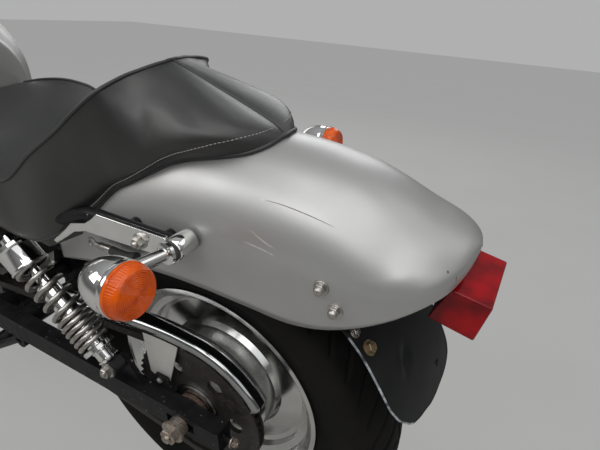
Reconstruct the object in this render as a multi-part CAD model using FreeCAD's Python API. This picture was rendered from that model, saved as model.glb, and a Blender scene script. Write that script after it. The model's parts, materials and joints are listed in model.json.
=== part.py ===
import FreeCAD, Part
import math
import os
from FreeCAD import Vector

# A mid-size V-twin cruiser motorcycle with chain drive, leaning on its side stand.
# Lengths are in millimetres. Every piece is drawn with the machine upright, X forwards, Y to its
# left, Z up, and the rear tyre touching the ground at X = 0. The last step leans it over.

# Stance: rooms and distances along the machine
LEAN = 7.0
RAKE = 35.0
TRAIL = 144.0
SWING_ROOM = 190.0
PIVOT_RISE = 15.0
PIVOT_TO_CRANK = 335.0
CRANK_DROP = 10.0
CRANK_TO_TYRE = 475.0

# Rear wheel and tyre
REAR_RADIUS = 325.0
REAR_TYRE_HALF = 75.0
REAR_RIM_RADIUS = 204.0
REAR_RIM_HALF = 51.0
REAR_HUB_RADIUS = 112.0
REAR_CROWN_HALF = 52.0
REAR_CROWN_DROP = 17.0
DISC_HALF = 7.0
CARRIER_FACE = 88.0

# Front wheel and tyre
FRONT_RADIUS = 320.0
FRONT_TYRE_HALF = 65.0
FRONT_RIM_RADIUS = 217.0
FRONT_RIM_HALF = 44.0
FRONT_HUB_RADIUS = 42.0
FRONT_HUB_HALF = 58.0
FRONT_CROWN_HALF = 46.0
FRONT_CROWN_DROP = 13.0
SPOKES_PER_SIDE = 20
SPOKE_RADIUS = 2.2
BRAKE_DISC_RADIUS = 148.0
BRAKE_DISC_THICK = 5.0

# Axles and clearances
AXLE_RADIUS = 9.0
SEAT_GAP = 0.3
TURN_GAP = 2.0
BEAD_GAP = 0.2
PRESS_GAP = 0.05

# Chain and sprockets
CHAIN_PITCH = 15.875
ROLLER_RADIUS = 5.1
CHAIN_Y = 92.0
REAR_TEETH = 48
FRONT_TEETH = 15
REAR_WRAP = 0.54
FRONT_WRAP = 0.4
OUTPUT_AHEAD = 104.0
PLATE_INNER = 4.9
PLATE_OUTER = 8.6
PLATE_HIGH = 7.4
SPROCKET_THICK = 7.6
OUTPUT_RISE = 22.0

# Swingarm, shocks and guard
PIVOT_TUBE = 20.0
ARM_INNER = 108.0
ARM_OUTER = 138.0
ARM_HEIGHT = 46.0
ARM_TAIL = 72.0
ARM_SLOT = 28.0
SHOCK_FOOT = (129.0, 69.0)
SHOCK_HEAD = (338.0, 267.0)
SHOCK_Y = 140.0
SHOCK_EYE_RADIUS = 14.0
SHOCK_EYE_HALF = 13.0
SHOCK_BODY_RADIUS = 17.0
SHOCK_CAP_RADIUS = 31.0
SPRING_RADIUS = 25.0
SPRING_WIRE = 4.2
SPRING_CLOSE_TURNS = 6
SPRING_CLOSE_PITCH = 10.5
SPRING_OPEN_TURNS = 6
LUG_THICK = 10.0
GUARD_WALL = 2.0
GUARD_INNER = 80.0
GUARD_OUTER = 107.0
GUARD_TALL = 30.0
GUARD_ROOM = 34.0

# Frame
TUBE = 14.0
BACKBONE = 24.0
PIVOT_PLATE = (52.0, 78.0)
CRADLE_Y = 110.0
CRADLE_DROP = 165.0
CRADLE_FRONT = 248.0
CRADLE_REAR = 125.0
RAIL_TUBE = 10.0
RAIL_Y = 129.0
RAIL_RISE = 358.0
STRUT_THICK = 7.0
HEAD_TUBE_RADIUS = 32.0
STEM_RADIUS = 17.0
YOKE_ROOM = 193.3
YOKE_SPREAD = 192.0
YOKE_THICK = 26.0

# Fork
FORK_Y = 100.0
FORK_TUBE_RADIUS = 20.5
SLIDER_RADIUS = 26.0
SLIDER_ABOVE = 10.3
BAR_RADIUS = 11.0
BAR_RISE = 60.0
BAR_AHEAD = 18.0
GRIP_RADIUS = 16.5
LAMP_RADIUS = 88.0
LAMP_GLASS = 84.0
LAMP_FROM_YOKE = (69.4, 49.6)

# Turn signals
SIGNAL_RADIUS = 34.5
SIGNAL_BAND = 10.0
SIGNAL_NOSE = 45.0
LENS_RADIUS = 30.0
LENS_DEPTH = 16.0
TIP_FLAT = 2.0
SIGNAL_STEM = 8.0
SIGNAL_BOSS = 14.5
SIGNAL_AT = (-52.0, 363.0)
SIGNAL_FACE = (-85.0, 237.0, 371.0)

# Engine
ENGINE_FEET = (-120.0, 50.0)
CYLINDER_TILT = 27.5
CASE_HALF = 84.0
CASE_RADIUS = 124.0
BARREL_RADIUS = 50.0
BARREL_LONG = 88.0
FIN_COUNT = 9
FIN_THICK = 3.4
FIN_HALF = 60.0
FIN_SIDE = 68.0
HEAD_FIN_COUNT = 4
HEAD_LONG = 56.0
PORT_ABOVE = 28.0
COVER_LONG = 38.0
RADIATOR_AHEAD = 292.0
RADIATOR_TALL = 194.0
LOUVRE_PITCH = 15.5

# Exhaust
PIPE_RADIUS = 20.0
MUFFLER_RADIUS = 40.0
MUFFLER_Y = 186.0
CONE_LONG = 70.0

# Body
SHEET = 3.0
FENDER_HALF = 114.0
FENDER_BOLTS = (-20.0, 40.0)
MUDGUARD_HALF = 105.2
MUDGUARD_ROOM = 36.0
TAIL_LAMP_HALF = 51.0
BATTERY_HALF = 74.0
COVER_Y = 112.0
SEAT_CLEAR = 3.0

# Side stand
STAND_EYE_HALF = 8.0
STAND_PIN = 7.0
STAND_REACH = (105.0, 300.0)
STAND_TUBE = 10.0
FOOT_RADIUS = 26.0
FOOT_THICK = 6.0

# Foot pegs: the rider's, and the brackets for the pillion's
PEG_LONG = 122.0
PEG_HOLE_RADIUS = 5.25
PEG_LUG = 14.0
PEG_FROM_PIVOT = (-75.0, -50.0)
PEG_Y = 116.0

RAKE_RAD = math.radians(RAKE)
LEAN_RAD = math.radians(LEAN)
PIVOT_X = REAR_RADIUS + SWING_ROOM
PIVOT_Z = REAR_RADIUS + PIVOT_RISE
CRANK_X = PIVOT_X + PIVOT_TO_CRANK
CRANK_Z = PIVOT_Z - CRANK_DROP
WHEELBASE = CRANK_X + CRANK_TO_TYRE + FRONT_RADIUS
REAR_AXLE = Vector(0, 0, REAR_RADIUS)
FRONT_AXLE = Vector(WHEELBASE, 0, FRONT_RADIUS)
STEER_FOOT = Vector(WHEELBASE + TRAIL, 0, 0)
STEER_UP = Vector(-math.sin(RAKE_RAD), 0, math.cos(RAKE_RAD))
STEER_AHEAD = Vector(math.cos(RAKE_RAD), 0, math.sin(RAKE_RAD))
FORK_OFFSET = FRONT_RADIUS * math.sin(RAKE_RAD) - TRAIL * math.cos(RAKE_RAD)
AXLE_T = TRAIL * math.sin(RAKE_RAD) + FRONT_RADIUS * math.cos(RAKE_RAD)
SLIDER_TOP_T = AXLE_T + FRONT_RADIUS + SLIDER_ABOVE
LOWER_YOKE_T = AXLE_T + FRONT_RADIUS + YOKE_ROOM
UPPER_YOKE_T = LOWER_YOKE_T + YOKE_SPREAD
HEAD_T = (LOWER_YOKE_T + UPPER_YOKE_T) / 2
CRADLE_Z = CRANK_Z - CRADLE_DROP
RAIL_Z = REAR_RADIUS + RAIL_RISE
SHOCK_LOW = (SHOCK_FOOT[0], REAR_RADIUS + SHOCK_FOOT[1])
SHOCK_HIGH = (SHOCK_HEAD[0], REAR_RADIUS + SHOCK_HEAD[1])
BARREL_END = CASE_RADIUS + BARREL_LONG
HEAD_END = BARREL_END + HEAD_LONG
COVER_END = HEAD_END + COVER_LONG
RUN_LINKS = round((PIVOT_X + OUTPUT_AHEAD) / CHAIN_PITCH)
REAR_WRAP_LINKS = round(REAR_TEETH * REAR_WRAP)
FRONT_WRAP_LINKS = round(FRONT_TEETH * FRONT_WRAP)
STAND_PIVOT = (PIVOT_X + CRADLE_REAR, CRADLE_Y + 26.0, CRADLE_Z + 31.0)
STAND_FOOT = (STAND_PIVOT[0] + STAND_REACH[0], STAND_REACH[1])
PEG_AT = (PIVOT_X + PEG_FROM_PIVOT[0], PEG_Y, PIVOT_Z + PEG_FROM_PIVOT[1])
Y_AXIS = Vector(0, 1, 0)
SIDES = {"left": 1, "right": -1}


# Helpers

def steer_point(t, ahead=0.0, y=0.0):
    """A point t up the steering axis, some way ahead of it and y to the left."""
    return STEER_FOOT + STEER_UP * t + STEER_AHEAD * ahead + Y_AXIS * y


def from_axle(x, y, z):
    """A point measured from the rear axle."""
    return Vector(x, y, REAR_RADIUS + z)


def from_pivot(x, y, z):
    """A point measured from the swingarm's pivot."""
    return Vector(PIVOT_X + x, y, PIVOT_Z + z)


def from_crank(x, y, z):
    """A point measured from the crankshaft."""
    return Vector(CRANK_X + x, y, CRANK_Z + z)


def outline_from(centre, points):
    """Plain (x, z) pairs, moved so that they are measured from a point."""
    return [(centre.x + x, centre.z + z) for x, z in points]


def rod(start, end, radius):
    """A round bar between two points."""
    start, end = Vector(start), Vector(end)
    return Part.makeCylinder(radius, (end - start).Length, start, end - start)


def ring(start, end, outer, inner):
    """A round tube between two points."""
    return rod(start, end, outer).cut(rod(start, end, inner))


def block(x, y, z):
    """A box from three (low, high) pairs."""
    return Part.makeBox(x[1] - x[0], y[1] - y[0], z[1] - z[0], Vector(x[0], y[0], z[0]))


def mirror_y(shape):
    """The same shape on the other side of the machine."""
    return shape.mirror(Vector(0, 0, 0), Y_AXIS)


def both_sides(shape):
    """The shape and its mirror image, as solids that don't touch."""
    return Part.makeCompound([shape, mirror_y(shape)])


def fuse(shapes):
    """One solid from several that meet."""
    whole = shapes[0]
    if len(shapes) > 1:
        whole = whole.multiFuse(shapes[1:])
    return whole.removeSplitter()


def bent_wire(points, bend):
    """Straight runs joined by tangent arcs. The bend radius shrinks where a run is short."""
    points = [Vector(p) for p in points]
    edges = []
    last = points[0]
    for before, corner, after in zip(points, points[1:], points[2:]):
        a, b = before - corner, after - corner
        turn = math.pi - a.getAngle(b)
        reach = min(bend * math.tan(turn / 2), 0.48 * a.Length, 0.48 * b.Length)
        radius = reach / math.tan(turn / 2)
        a.normalize()
        b.normalize()
        start, end = corner + a * reach, corner + b * reach
        middle_way = a + b
        middle_way.normalize()
        centre_distance = math.hypot(radius, reach)
        middle = corner + middle_way * (centre_distance - radius)
        edges.append(Part.LineSegment(last, start).toShape())
        edges.append(Part.Arc(start, middle, end).toShape())
        last = end
    edges.append(Part.LineSegment(last, points[-1]).toShape())
    return Part.Wire(edges)


def pipe(points, radius, bend=60.0):
    """A round bar bent along a route."""
    path = bent_wire(points, bend)
    first, second = Vector(points[0]), Vector(points[1])
    circle = Part.Wire(Part.Circle(first, second - first, radius).toShape())
    return path.makePipeShell([circle], True, True)


def plate(outline, y_low, y_high):
    """A flat plate whose outline is given in X and Z."""
    corners = [Vector(x, y_low, z) for x, z in outline]
    wire = Part.makePolygon(corners + corners[:1])
    return Part.Face(wire).extrude(Vector(0, y_high - y_low, 0))


def revolve_y(profile, centre):
    """A turned piece about the Y axis through centre. The profile is (y, radius) points."""
    corners = [Vector(0, y, r) + centre for y, r in profile]
    wire = Part.makePolygon(corners + corners[:1])
    return Part.Face(wire).revolve(centre, Y_AXIS, 360)


def turned(edges, centre, way):
    """A turned piece about a line through centre. Its section is a closed loop of edges."""
    return Part.Face(Part.Wire([e.toShape() for e in edges])).revolve(centre, way, 360)


def arch_section(x, half, bottom, spring, crown, shoulder):
    """A closed arch across the machine: a flat bottom, straight sides up to the spring line, then
    a three-centred arch that starts with the shoulder radius and rises to the crown."""
    rise, reach = crown - spring, half - shoulder
    crown_radius = (reach ** 2 + rise ** 2 - shoulder ** 2) / (2 * (rise - shoulder))
    slope = math.atan2(reach, crown_radius - rise)
    meet = (crown_radius * math.sin(slope), crown - crown_radius * (1 - math.cos(slope)))
    halfway = (math.pi / 2 - slope) / 2
    middle = (reach + shoulder * math.cos(halfway), spring + shoulder * math.sin(halfway))

    def at(w, z):
        return Vector(x, w, z)

    edges = [
        Part.LineSegment(at(-half, bottom), at(half, bottom)),
        Part.LineSegment(at(half, bottom), at(half, spring)),
        Part.Arc(at(half, spring), at(*middle), at(*meet)),
        Part.Arc(at(*meet), at(0, crown), at(-meet[0], meet[1])),
        Part.Arc(at(-meet[0], meet[1]), at(-middle[0], middle[1]), at(-half, spring)),
        Part.LineSegment(at(-half, spring), at(-half, bottom)),
    ]
    return Part.Wire([e.toShape() for e in edges])


def arch_loft(rows, grow=0.0, drop=0.0):
    """A solid through arch sections, grown on all sides and dropped at the bottom."""
    wires = []
    for x, half, bottom, spring, crown, shoulder in rows:
        wires.append(arch_section(x, half + grow, bottom - drop, spring, crown + grow, shoulder + grow))
    return Part.makeLoft(wires, True, True)


# Wheels

def tyre(centre, radius, half_width, rim_radius, rim_half, crown_drop, crown_half):
    """A round-crowned tyre that stands on its rim's bead seats."""
    def at(y, r):
        return centre + Vector(0, y, r)

    seat = rim_radius - 14.0 + BEAD_GAP
    shoulder_r = radius - crown_drop
    belly_r = radius - 2.9 * crown_drop
    bead = rim_half - 5.0
    edges = [
        Part.Arc(at(-crown_half, shoulder_r), at(0, radius), at(crown_half, shoulder_r)),
        Part.Arc(at(crown_half, shoulder_r), at(half_width - 1.5, (shoulder_r + belly_r) / 2),
                 at(half_width, belly_r)),
        Part.LineSegment(at(half_width, belly_r), at(bead - BEAD_GAP, rim_radius + 2.0)),
        Part.LineSegment(at(bead - BEAD_GAP, rim_radius + 2.0), at(bead - 1.0 - BEAD_GAP, seat)),
        Part.LineSegment(at(bead - 1.0 - BEAD_GAP, seat), at(-bead + 1.0 + BEAD_GAP, seat)),
        Part.LineSegment(at(-bead + 1.0 + BEAD_GAP, seat), at(-bead + BEAD_GAP, rim_radius + 2.0)),
        Part.LineSegment(at(-bead + BEAD_GAP, rim_radius + 2.0), at(-half_width, belly_r)),
        Part.Arc(at(-half_width, belly_r), at(-half_width + 1.5, (shoulder_r + belly_r) / 2),
                 at(-crown_half, shoulder_r)),
    ]
    wire = Part.Wire([e.toShape() for e in edges])
    return Part.Face(wire).revolve(centre, Y_AXIS, 360)


def rim_outside(rim_radius, rim_half):
    """The tyre side of a rim's section, from the left flange to the right one."""
    seat = rim_radius - 14.0
    left = [(rim_half, rim_radius), (rim_half - 5.0, rim_radius), (rim_half - 6.0, seat),
            (rim_half * 0.42, seat - 2.0), (rim_half * 0.3, seat - 18.0)]
    return left + [(-y, r) for y, r in reversed(left)]


def rear_wheel():
    """A cast disc wheel: polished rim, dished disc, and the drum that carries the sprocket."""
    r, h, hub, d = REAR_RIM_RADIUS, REAR_RIM_HALF, REAR_HUB_RADIUS, DISC_HALF
    lip = [(h, r - 8.0), (h - 10.0, r - 20.0), (h - 26.0, r - 25.0), (h - 30.0, r - 37.0),
           (d + 3.0, r - 40.0), (d, r - 48.0)]
    right = [(-y, radius) for y, radius in lip]
    left_hub = [(d + 5.0, hub + 6.0), (d + 14.0, hub), (h - 2.0, hub - 4.0), (h + 4.0, hub - 16.0),
                (h + 6.0, 66.0), (CARRIER_FACE, 62.0), (CARRIER_FACE, 44.0),
                (CARRIER_FACE + 12.0, 42.0), (CARRIER_FACE + 12.0, AXLE_RADIUS + SEAT_GAP)]
    right_hub = [(-h - 18.0, AXLE_RADIUS + SEAT_GAP), (-h - 18.0, hub - 16.0), (-h - 12.0, hub - 10.0),
                 (-d - 12.0, hub - 6.0), (-d - 5.0, hub + 4.0)]
    profile = rim_outside(r, h) + right + right_hub[::-1] + left_hub[::-1] + lip[::-1]
    return revolve_y(profile, REAR_AXLE)


def front_wheel():
    """A spoked wheel: hub, rim and two laced rows of spokes."""
    r, h = FRONT_RIM_RADIUS, FRONT_RIM_HALF
    inner = [(h, r - 9.0), (h - 8.0, r - 19.0), (h * 0.45, r - 22.0), (h * 0.35, r - 37.0)]
    rim = revolve_y(rim_outside(r, h) + [(-y, q) for y, q in inner] + inner[::-1], FRONT_AXLE)
    hub_profile = [(FRONT_HUB_HALF, AXLE_RADIUS + SEAT_GAP), (FRONT_HUB_HALF, FRONT_HUB_RADIUS - 16.0),
                   (FRONT_HUB_HALF - 8.0, FRONT_HUB_RADIUS), (FRONT_HUB_HALF - 14.0, FRONT_HUB_RADIUS),
                   (FRONT_HUB_HALF - 18.0, FRONT_HUB_RADIUS - 14.0)]
    hub = revolve_y(hub_profile + [(-y, q) for y, q in reversed(hub_profile)], FRONT_AXLE)
    spokes = []
    for side in SIDES.values():
        for i in range(SPOKES_PER_SIDE):
            lean_way = 1 if i % 2 else -1
            rim_angle = 2 * math.pi * (i + 0.25 * (1 + side)) / SPOKES_PER_SIDE
            hub_angle = rim_angle + lean_way * math.radians(38.0)
            foot = FRONT_HUB_RADIUS - 4.0
            top = r - 30.0
            spokes.append(rod(
                FRONT_AXLE + Vector(foot * math.sin(hub_angle), side * (FRONT_HUB_HALF - 11.0),
                                    foot * math.cos(hub_angle)),
                FRONT_AXLE + Vector(top * math.sin(rim_angle), side * h * 0.2, top * math.cos(rim_angle)),
                SPOKE_RADIUS))
    return fuse([hub, rim] + spokes)


def brake_disc():
    """A drilled disc with its carrier, on the front hub's left end."""
    y = FRONT_HUB_HALF + SEAT_GAP
    outer = ring(FRONT_AXLE + Y_AXIS * y, FRONT_AXLE + Y_AXIS * (y + BRAKE_DISC_THICK),
                 BRAKE_DISC_RADIUS, BRAKE_DISC_RADIUS - 34.0)
    arms = [ring(FRONT_AXLE + Y_AXIS * y, FRONT_AXLE + Y_AXIS * (y + BRAKE_DISC_THICK),
                 FRONT_HUB_RADIUS + 6.0, FRONT_HUB_RADIUS - 20.0)]
    for i in range(6):
        angle = math.pi / 3 * i
        reach = Vector(math.sin(angle), 0, math.cos(angle))
        arm = block((-7.0, 7.0), (y, y + BRAKE_DISC_THICK), (FRONT_HUB_RADIUS, BRAKE_DISC_RADIUS - 30.0))
        arm.rotate(Vector(0, 0, 0), Y_AXIS, math.degrees(angle))
        arm.translate(FRONT_AXLE)
        arms.append(arm)
        hole_at = FRONT_AXLE + reach * (BRAKE_DISC_RADIUS - 17.0)
        outer = outer.cut(rod(hole_at, hole_at + Y_AXIS * 200.0, 6.0))
    return fuse([outer] + arms)


# Chain drive

def chain_layout():
    """Pin positions in X and Z, in order round the loop, and the two sprocket centres."""
    big = CHAIN_PITCH / (2 * math.sin(math.pi / REAR_TEETH))
    small = CHAIN_PITCH / (2 * math.sin(math.pi / FRONT_TEETH))
    big_end = math.pi * REAR_WRAP_LINKS / REAR_TEETH
    small_end = math.pi * FRONT_WRAP_LINKS / FRONT_TEETH
    drop = big * math.sin(big_end) - small * math.sin(small_end)
    run = math.sqrt((RUN_LINKS * CHAIN_PITCH) ** 2 - drop ** 2)
    distance = run - big * math.cos(big_end) - small * math.cos(small_end)
    tilt = math.asin(OUTPUT_RISE / distance)
    pins = []
    for k in range(REAR_WRAP_LINKS + 1):
        angle = math.pi - big_end + 2 * math.pi * k / REAR_TEETH
        pins.append((big * math.cos(angle), big * math.sin(angle)))
    start = pins[-1]
    end = (distance + small * math.cos(small_end), -small * math.sin(small_end))
    for k in range(1, RUN_LINKS):
        share = k / RUN_LINKS
        pins.append((start[0] + (end[0] - start[0]) * share, start[1] + (end[1] - start[1]) * share))
    for k in range(FRONT_WRAP_LINKS + 1):
        angle = -small_end + 2 * math.pi * k / FRONT_TEETH
        pins.append((distance + small * math.cos(angle), small * math.sin(angle)))
    start, end = pins[-1], pins[0]
    for k in range(1, RUN_LINKS):
        share = k / RUN_LINKS
        pins.append((start[0] + (end[0] - start[0]) * share, start[1] + (end[1] - start[1]) * share))

    def place(p):
        return (p[0] * math.cos(tilt) - p[1] * math.sin(tilt),
                REAR_RADIUS + p[0] * math.sin(tilt) + p[1] * math.cos(tilt))

    return [place(p) for p in pins], place((distance, 0)), tilt, big, small


def chain():
    """The closed chain: two rows of side plates carried on a roller at every pin."""
    pins = chain_layout()[0]
    count = len(pins)
    outside, inside, rollers = [], [], []
    for i, (x, z) in enumerate(pins):
        before, after = pins[i - 1], pins[(i + 1) % count]
        way = Vector(after[0] - before[0], 0, after[1] - before[1])
        way.normalize()
        out = Vector(way.z, 0, -way.x)
        here = Vector(x, 0, z)
        step_in = Vector(x - before[0], 0, z - before[1])
        step_out = Vector(after[0] - x, 0, after[1] - z)
        if step_in.getAngle(step_out) > 0.001:
            outside.append(here + out * PLATE_HIGH)
            inside.append(here - out * PLATE_HIGH)
        diamond = [here + d * ROLLER_RADIUS for d in (way, out, way * -1, out * -1)]
        diamond = [p + Y_AXIS * (CHAIN_Y - PLATE_INNER) for p in diamond]
        rollers.append(Part.Face(Part.makePolygon(diamond + diamond[:1])).extrude(Y_AXIS * 2 * PLATE_INNER))
    bands = []
    for low in (CHAIN_Y - PLATE_OUTER, CHAIN_Y + PLATE_INNER):
        loops = [Part.makePolygon([p + Y_AXIS * low for p in loop + loop[:1]]) for loop in (outside, inside)]
        loops.sort(key=lambda w: w.BoundBox.DiagonalLength, reverse=True)
        face = Part.Face(loops[0]).cut(Part.Face(loops[1]))
        bands.append(face.Faces[0].extrude(Y_AXIS * (PLATE_OUTER - PLATE_INNER)))
    return fuse(bands + rollers)


def rear_sprocket():
    """A toothed plate on the wheel's carrier. Its gaps meet the chain's pins."""
    _, _, tilt, big, _ = chain_layout()
    root, tip = big - ROLLER_RADIUS - SEAT_GAP, big + 4.6
    pitch_angle = 2 * math.pi / REAR_TEETH
    gap, top = pitch_angle * 0.335, pitch_angle * 0.42
    corners = []
    for k in range(REAR_TEETH):
        centre = math.pi + tilt + k * pitch_angle
        for angle, radius in ((-gap, root), (gap, root), (top, tip), (pitch_angle - top, tip)):
            corners.append(REAR_AXLE + Vector(radius * math.cos(centre + angle), CHAIN_Y - SPROCKET_THICK / 2,
                                              radius * math.sin(centre + angle)))
    body = Part.Face(Part.makePolygon(corners + corners[:1])).extrude(Y_AXIS * SPROCKET_THICK)
    cuts = [rod(REAR_AXLE, REAR_AXLE + Y_AXIS * 200.0, 44.0 + SEAT_GAP)]
    for k in range(6):
        angle = pitch_angle / 2 + k * math.pi / 3
        at = REAR_AXLE + Vector(math.cos(angle), 0, math.sin(angle)) * 78.0
        cuts.append(rod(at, at + Y_AXIS * 200.0, 15.0))
    return body.cut(cuts)


def chain_guard():
    """A chrome channel over the chain's top run, curled down over the sprocket, on its stay."""
    reach = chain_layout()[3] + GUARD_ROOM
    top = [from_axle(SHOCK_FOOT[0] + 201.0, 0, reach - 40.0), from_axle(72.0, 0, reach + 1.0)]
    for angle in (90.0, 115.0, 135.0, 150.5):
        turn = math.radians(angle)
        top.append(from_axle(reach * math.cos(turn), 0, reach * math.sin(turn)))
    path = bent_wire(top, reach)
    tall, w = GUARD_TALL, GUARD_WALL
    start = top[0]
    way = top[1] - start
    way.normalize()
    up = Vector(-way.z, 0, way.x) * -1
    if up.z < 0:
        up = up * -1
    section = [(GUARD_INNER, 0.0), (GUARD_OUTER, 0.0), (GUARD_OUTER, -tall), (GUARD_OUTER - w, -tall),
               (GUARD_OUTER - w, -w), (GUARD_INNER, -w)]
    corners = [start + Y_AXIS * y + up * h for y, h in section]
    wire = Part.makePolygon(corners + corners[:1])
    channel = path.makePipeShell([wire], True, False)
    foot = [(34.0, 53.0), (44.0, 35.0), (70.0, 39.0)]
    stay = plate(outline_from(REAR_AXLE, [(74.0, reach - 18.0), (4.0, reach - 18.0)] + foot),
                 GUARD_OUTER - w, GUARD_OUTER)
    return fuse([channel, stay])


# Rear suspension

def swingarm():
    """Two box arms on a pivot tube, with the shock lugs and the axle adjusters."""
    parts = [rod((PIVOT_X, -ARM_OUTER, PIVOT_Z), (PIVOT_X, ARM_OUTER, PIVOT_Z), PIVOT_TUBE),
             rod(from_pivot(-90.0, -ARM_INNER - 6.0, 2.0), from_pivot(-90.0, ARM_INNER + 6.0, 2.0), 21.0)]
    half = ARM_HEIGHT / 2
    lug_y = SHOCK_Y - SHOCK_EYE_HALF - SEAT_GAP
    slot_half = AXLE_RADIUS + SEAT_GAP
    for side in SIDES.values():
        outline = [(PIVOT_X + 26.0, PIVOT_Z + 10.0), (PIVOT_X + 26.0, PIVOT_Z - 10.0),
                   (PIVOT_X, PIVOT_Z - half),
                   (-ARM_TAIL, REAR_RADIUS - half), (-ARM_TAIL, REAR_RADIUS + half - 4.0),
                   (40.0, REAR_RADIUS + half + 4.0), (PIVOT_X, PIVOT_Z + half)]
        y = sorted((side * ARM_INNER, side * ARM_OUTER))
        arm = plate(outline, *y)
        arm = arm.cut(block((-ARM_SLOT, ARM_SLOT), (y[0] - 1.0, y[1] + 1.0),
                            (REAR_RADIUS - slot_half, REAR_RADIUS + slot_half)))
        lx, lz = SHOCK_LOW
        lug = plate([(lx - 48.0, REAR_RADIUS + half - 4.0), (lx + 40.0, REAR_RADIUS + half - 4.0),
                     (lx + 12.0, lz + 6.0), (lx, lz + 13.0), (lx - 12.0, lz + 6.0)],
                    *sorted((side * (lug_y - LUG_THICK), side * lug_y)))
        cap = block((-ARM_TAIL - 6.0, -ARM_TAIL), y, (REAR_RADIUS - half - 3.0, REAR_RADIUS + half - 1.0))
        screw = rod((-ARM_TAIL - 22.0, sum(y) / 2, REAR_RADIUS), (-ARM_TAIL, sum(y) / 2, REAR_RADIUS), 5.0)
        parts += [arm, lug, cap, screw]
    tab_y = GUARD_OUTER + SEAT_GAP
    tab = outline_from(REAR_AXLE, [(28.0, 20.0), (84.0, 20.0), (68.0, 55.0), (44.0, 55.0)])
    parts.append(plate(tab, tab_y, tab_y + 5.0))
    return fuse(parts)


def shock_line(share):
    """A point on the left shock's axis, from the lower eye to the upper one."""
    (x0, z0), (x1, z1) = SHOCK_LOW, SHOCK_HIGH
    return Vector(x0 + (x1 - x0) * share, SHOCK_Y, z0 + (z1 - z0) * share)


def shock_body():
    """Eyes, damper body, rod and the chrome cap at the top."""
    half = Y_AXIS * SHOCK_EYE_HALF
    eyes = [rod(shock_line(s) - half, shock_line(s) + half, SHOCK_EYE_RADIUS) for s in (0.0, 1.0)]
    seat = rod(shock_line(0.12), shock_line(0.16), SHOCK_BODY_RADIUS + 11.0)
    foot = rod(shock_line(0.02), shock_line(0.13), 12.0)
    damper = rod(shock_line(0.1), shock_line(0.62), SHOCK_BODY_RADIUS)
    piston = rod(shock_line(0.6), shock_line(0.98), 9.0)
    cap = rod(shock_line(0.74), shock_line(0.9), SHOCK_CAP_RADIUS)
    hollow = rod(shock_line(0.7), shock_line(0.875), SHOCK_CAP_RADIUS - 2.5)
    neck = rod(shock_line(0.87), shock_line(0.97), 12.0)
    return fuse(eyes + [foot, seat, damper, piston, cap.cut(hollow), neck])


def shock_spring():
    """The two-rate coil: close turns below, open turns above, between the seat and the cap."""
    way = shock_line(1.0) - shock_line(0.0)
    length = way.Length
    low = 0.16 * length + SPRING_WIRE + SEAT_GAP
    high = 0.875 * length - SPRING_WIRE - SEAT_GAP
    change = low + SPRING_CLOSE_TURNS * SPRING_CLOSE_PITCH
    open_pitch = (high - change) / SPRING_OPEN_TURNS
    # Columns: height at the foot, pitch, number of turns
    stages = [(low, SPRING_CLOSE_PITCH, SPRING_CLOSE_TURNS), (change, open_pitch, SPRING_OPEN_TURNS)]
    edges = []
    for foot, pitch, turns in stages:
        helix = Part.makeHelix(pitch, pitch * turns, SPRING_RADIUS)
        helix.translate(Vector(0, 0, foot))
        edges += helix.Edges
    path = Part.Wire(edges)
    start = Part.Wire(Part.Circle(Vector(SPRING_RADIUS, 0, low), Y_AXIS, SPRING_WIRE).toShape())
    coil = path.makePipeShell([start], True, True)
    coil.rotate(Vector(0, 0, 0), Y_AXIS, math.degrees(math.atan2(way.x, way.z)))
    coil.translate(shock_line(0.0))
    return coil


# Frame

def rail(side, radius):
    """The tube under the seat that carries the fender strut."""
    y = side * RAIL_Y
    end = SIGNAL_AT[0] + SIGNAL_BOSS + SEAT_GAP
    route = [from_pivot(-43.0, side * 90.0, 222.0), from_axle(340.0, side * 108.0, 275.0),
             from_axle(240.0, y, 309.0), from_axle(110.0, y, RAIL_RISE), from_axle(end, y, RAIL_RISE)]
    return pipe(route, radius)


def backbone(radius):
    """The main tube from the steering head over the engine and down behind the seat's nose."""
    head = steer_point(HEAD_T)
    route = [head, head + Vector(-122.0, 0, -34.0), from_crank(-90.0, 0, 360.0), from_pivot(45.0, 0, 300.0),
             from_pivot(-60.0, 0, 220.0)]
    return pipe(route, radius, 140.0)


def down_tube(side, radius):
    """One side of the cradle: down in front of the engine, under it and up to the seat."""
    y = side * CRADLE_Y
    inner = side * PIVOT_PLATE[0] + side * 12.0
    route = [steer_point(LOWER_YOKE_T + 67.0, 0, side * 14.0), from_crank(340.0, side * 62.0, 230.0),
             from_crank(290.0, y, 0), from_crank(CRADLE_FRONT, y, -CRADLE_DROP),
             (PIVOT_X + CRADLE_REAR, y, CRADLE_Z), from_pivot(57.0, side * 94.0, -136.0),
             from_pivot(13.0, inner, -68.0), from_pivot(0, inner, 0), from_pivot(-31.0, inner, 130.0),
             from_pivot(-53.0, side * 90.0, 226.0)]
    return pipe(route, radius, 90.0)


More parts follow.
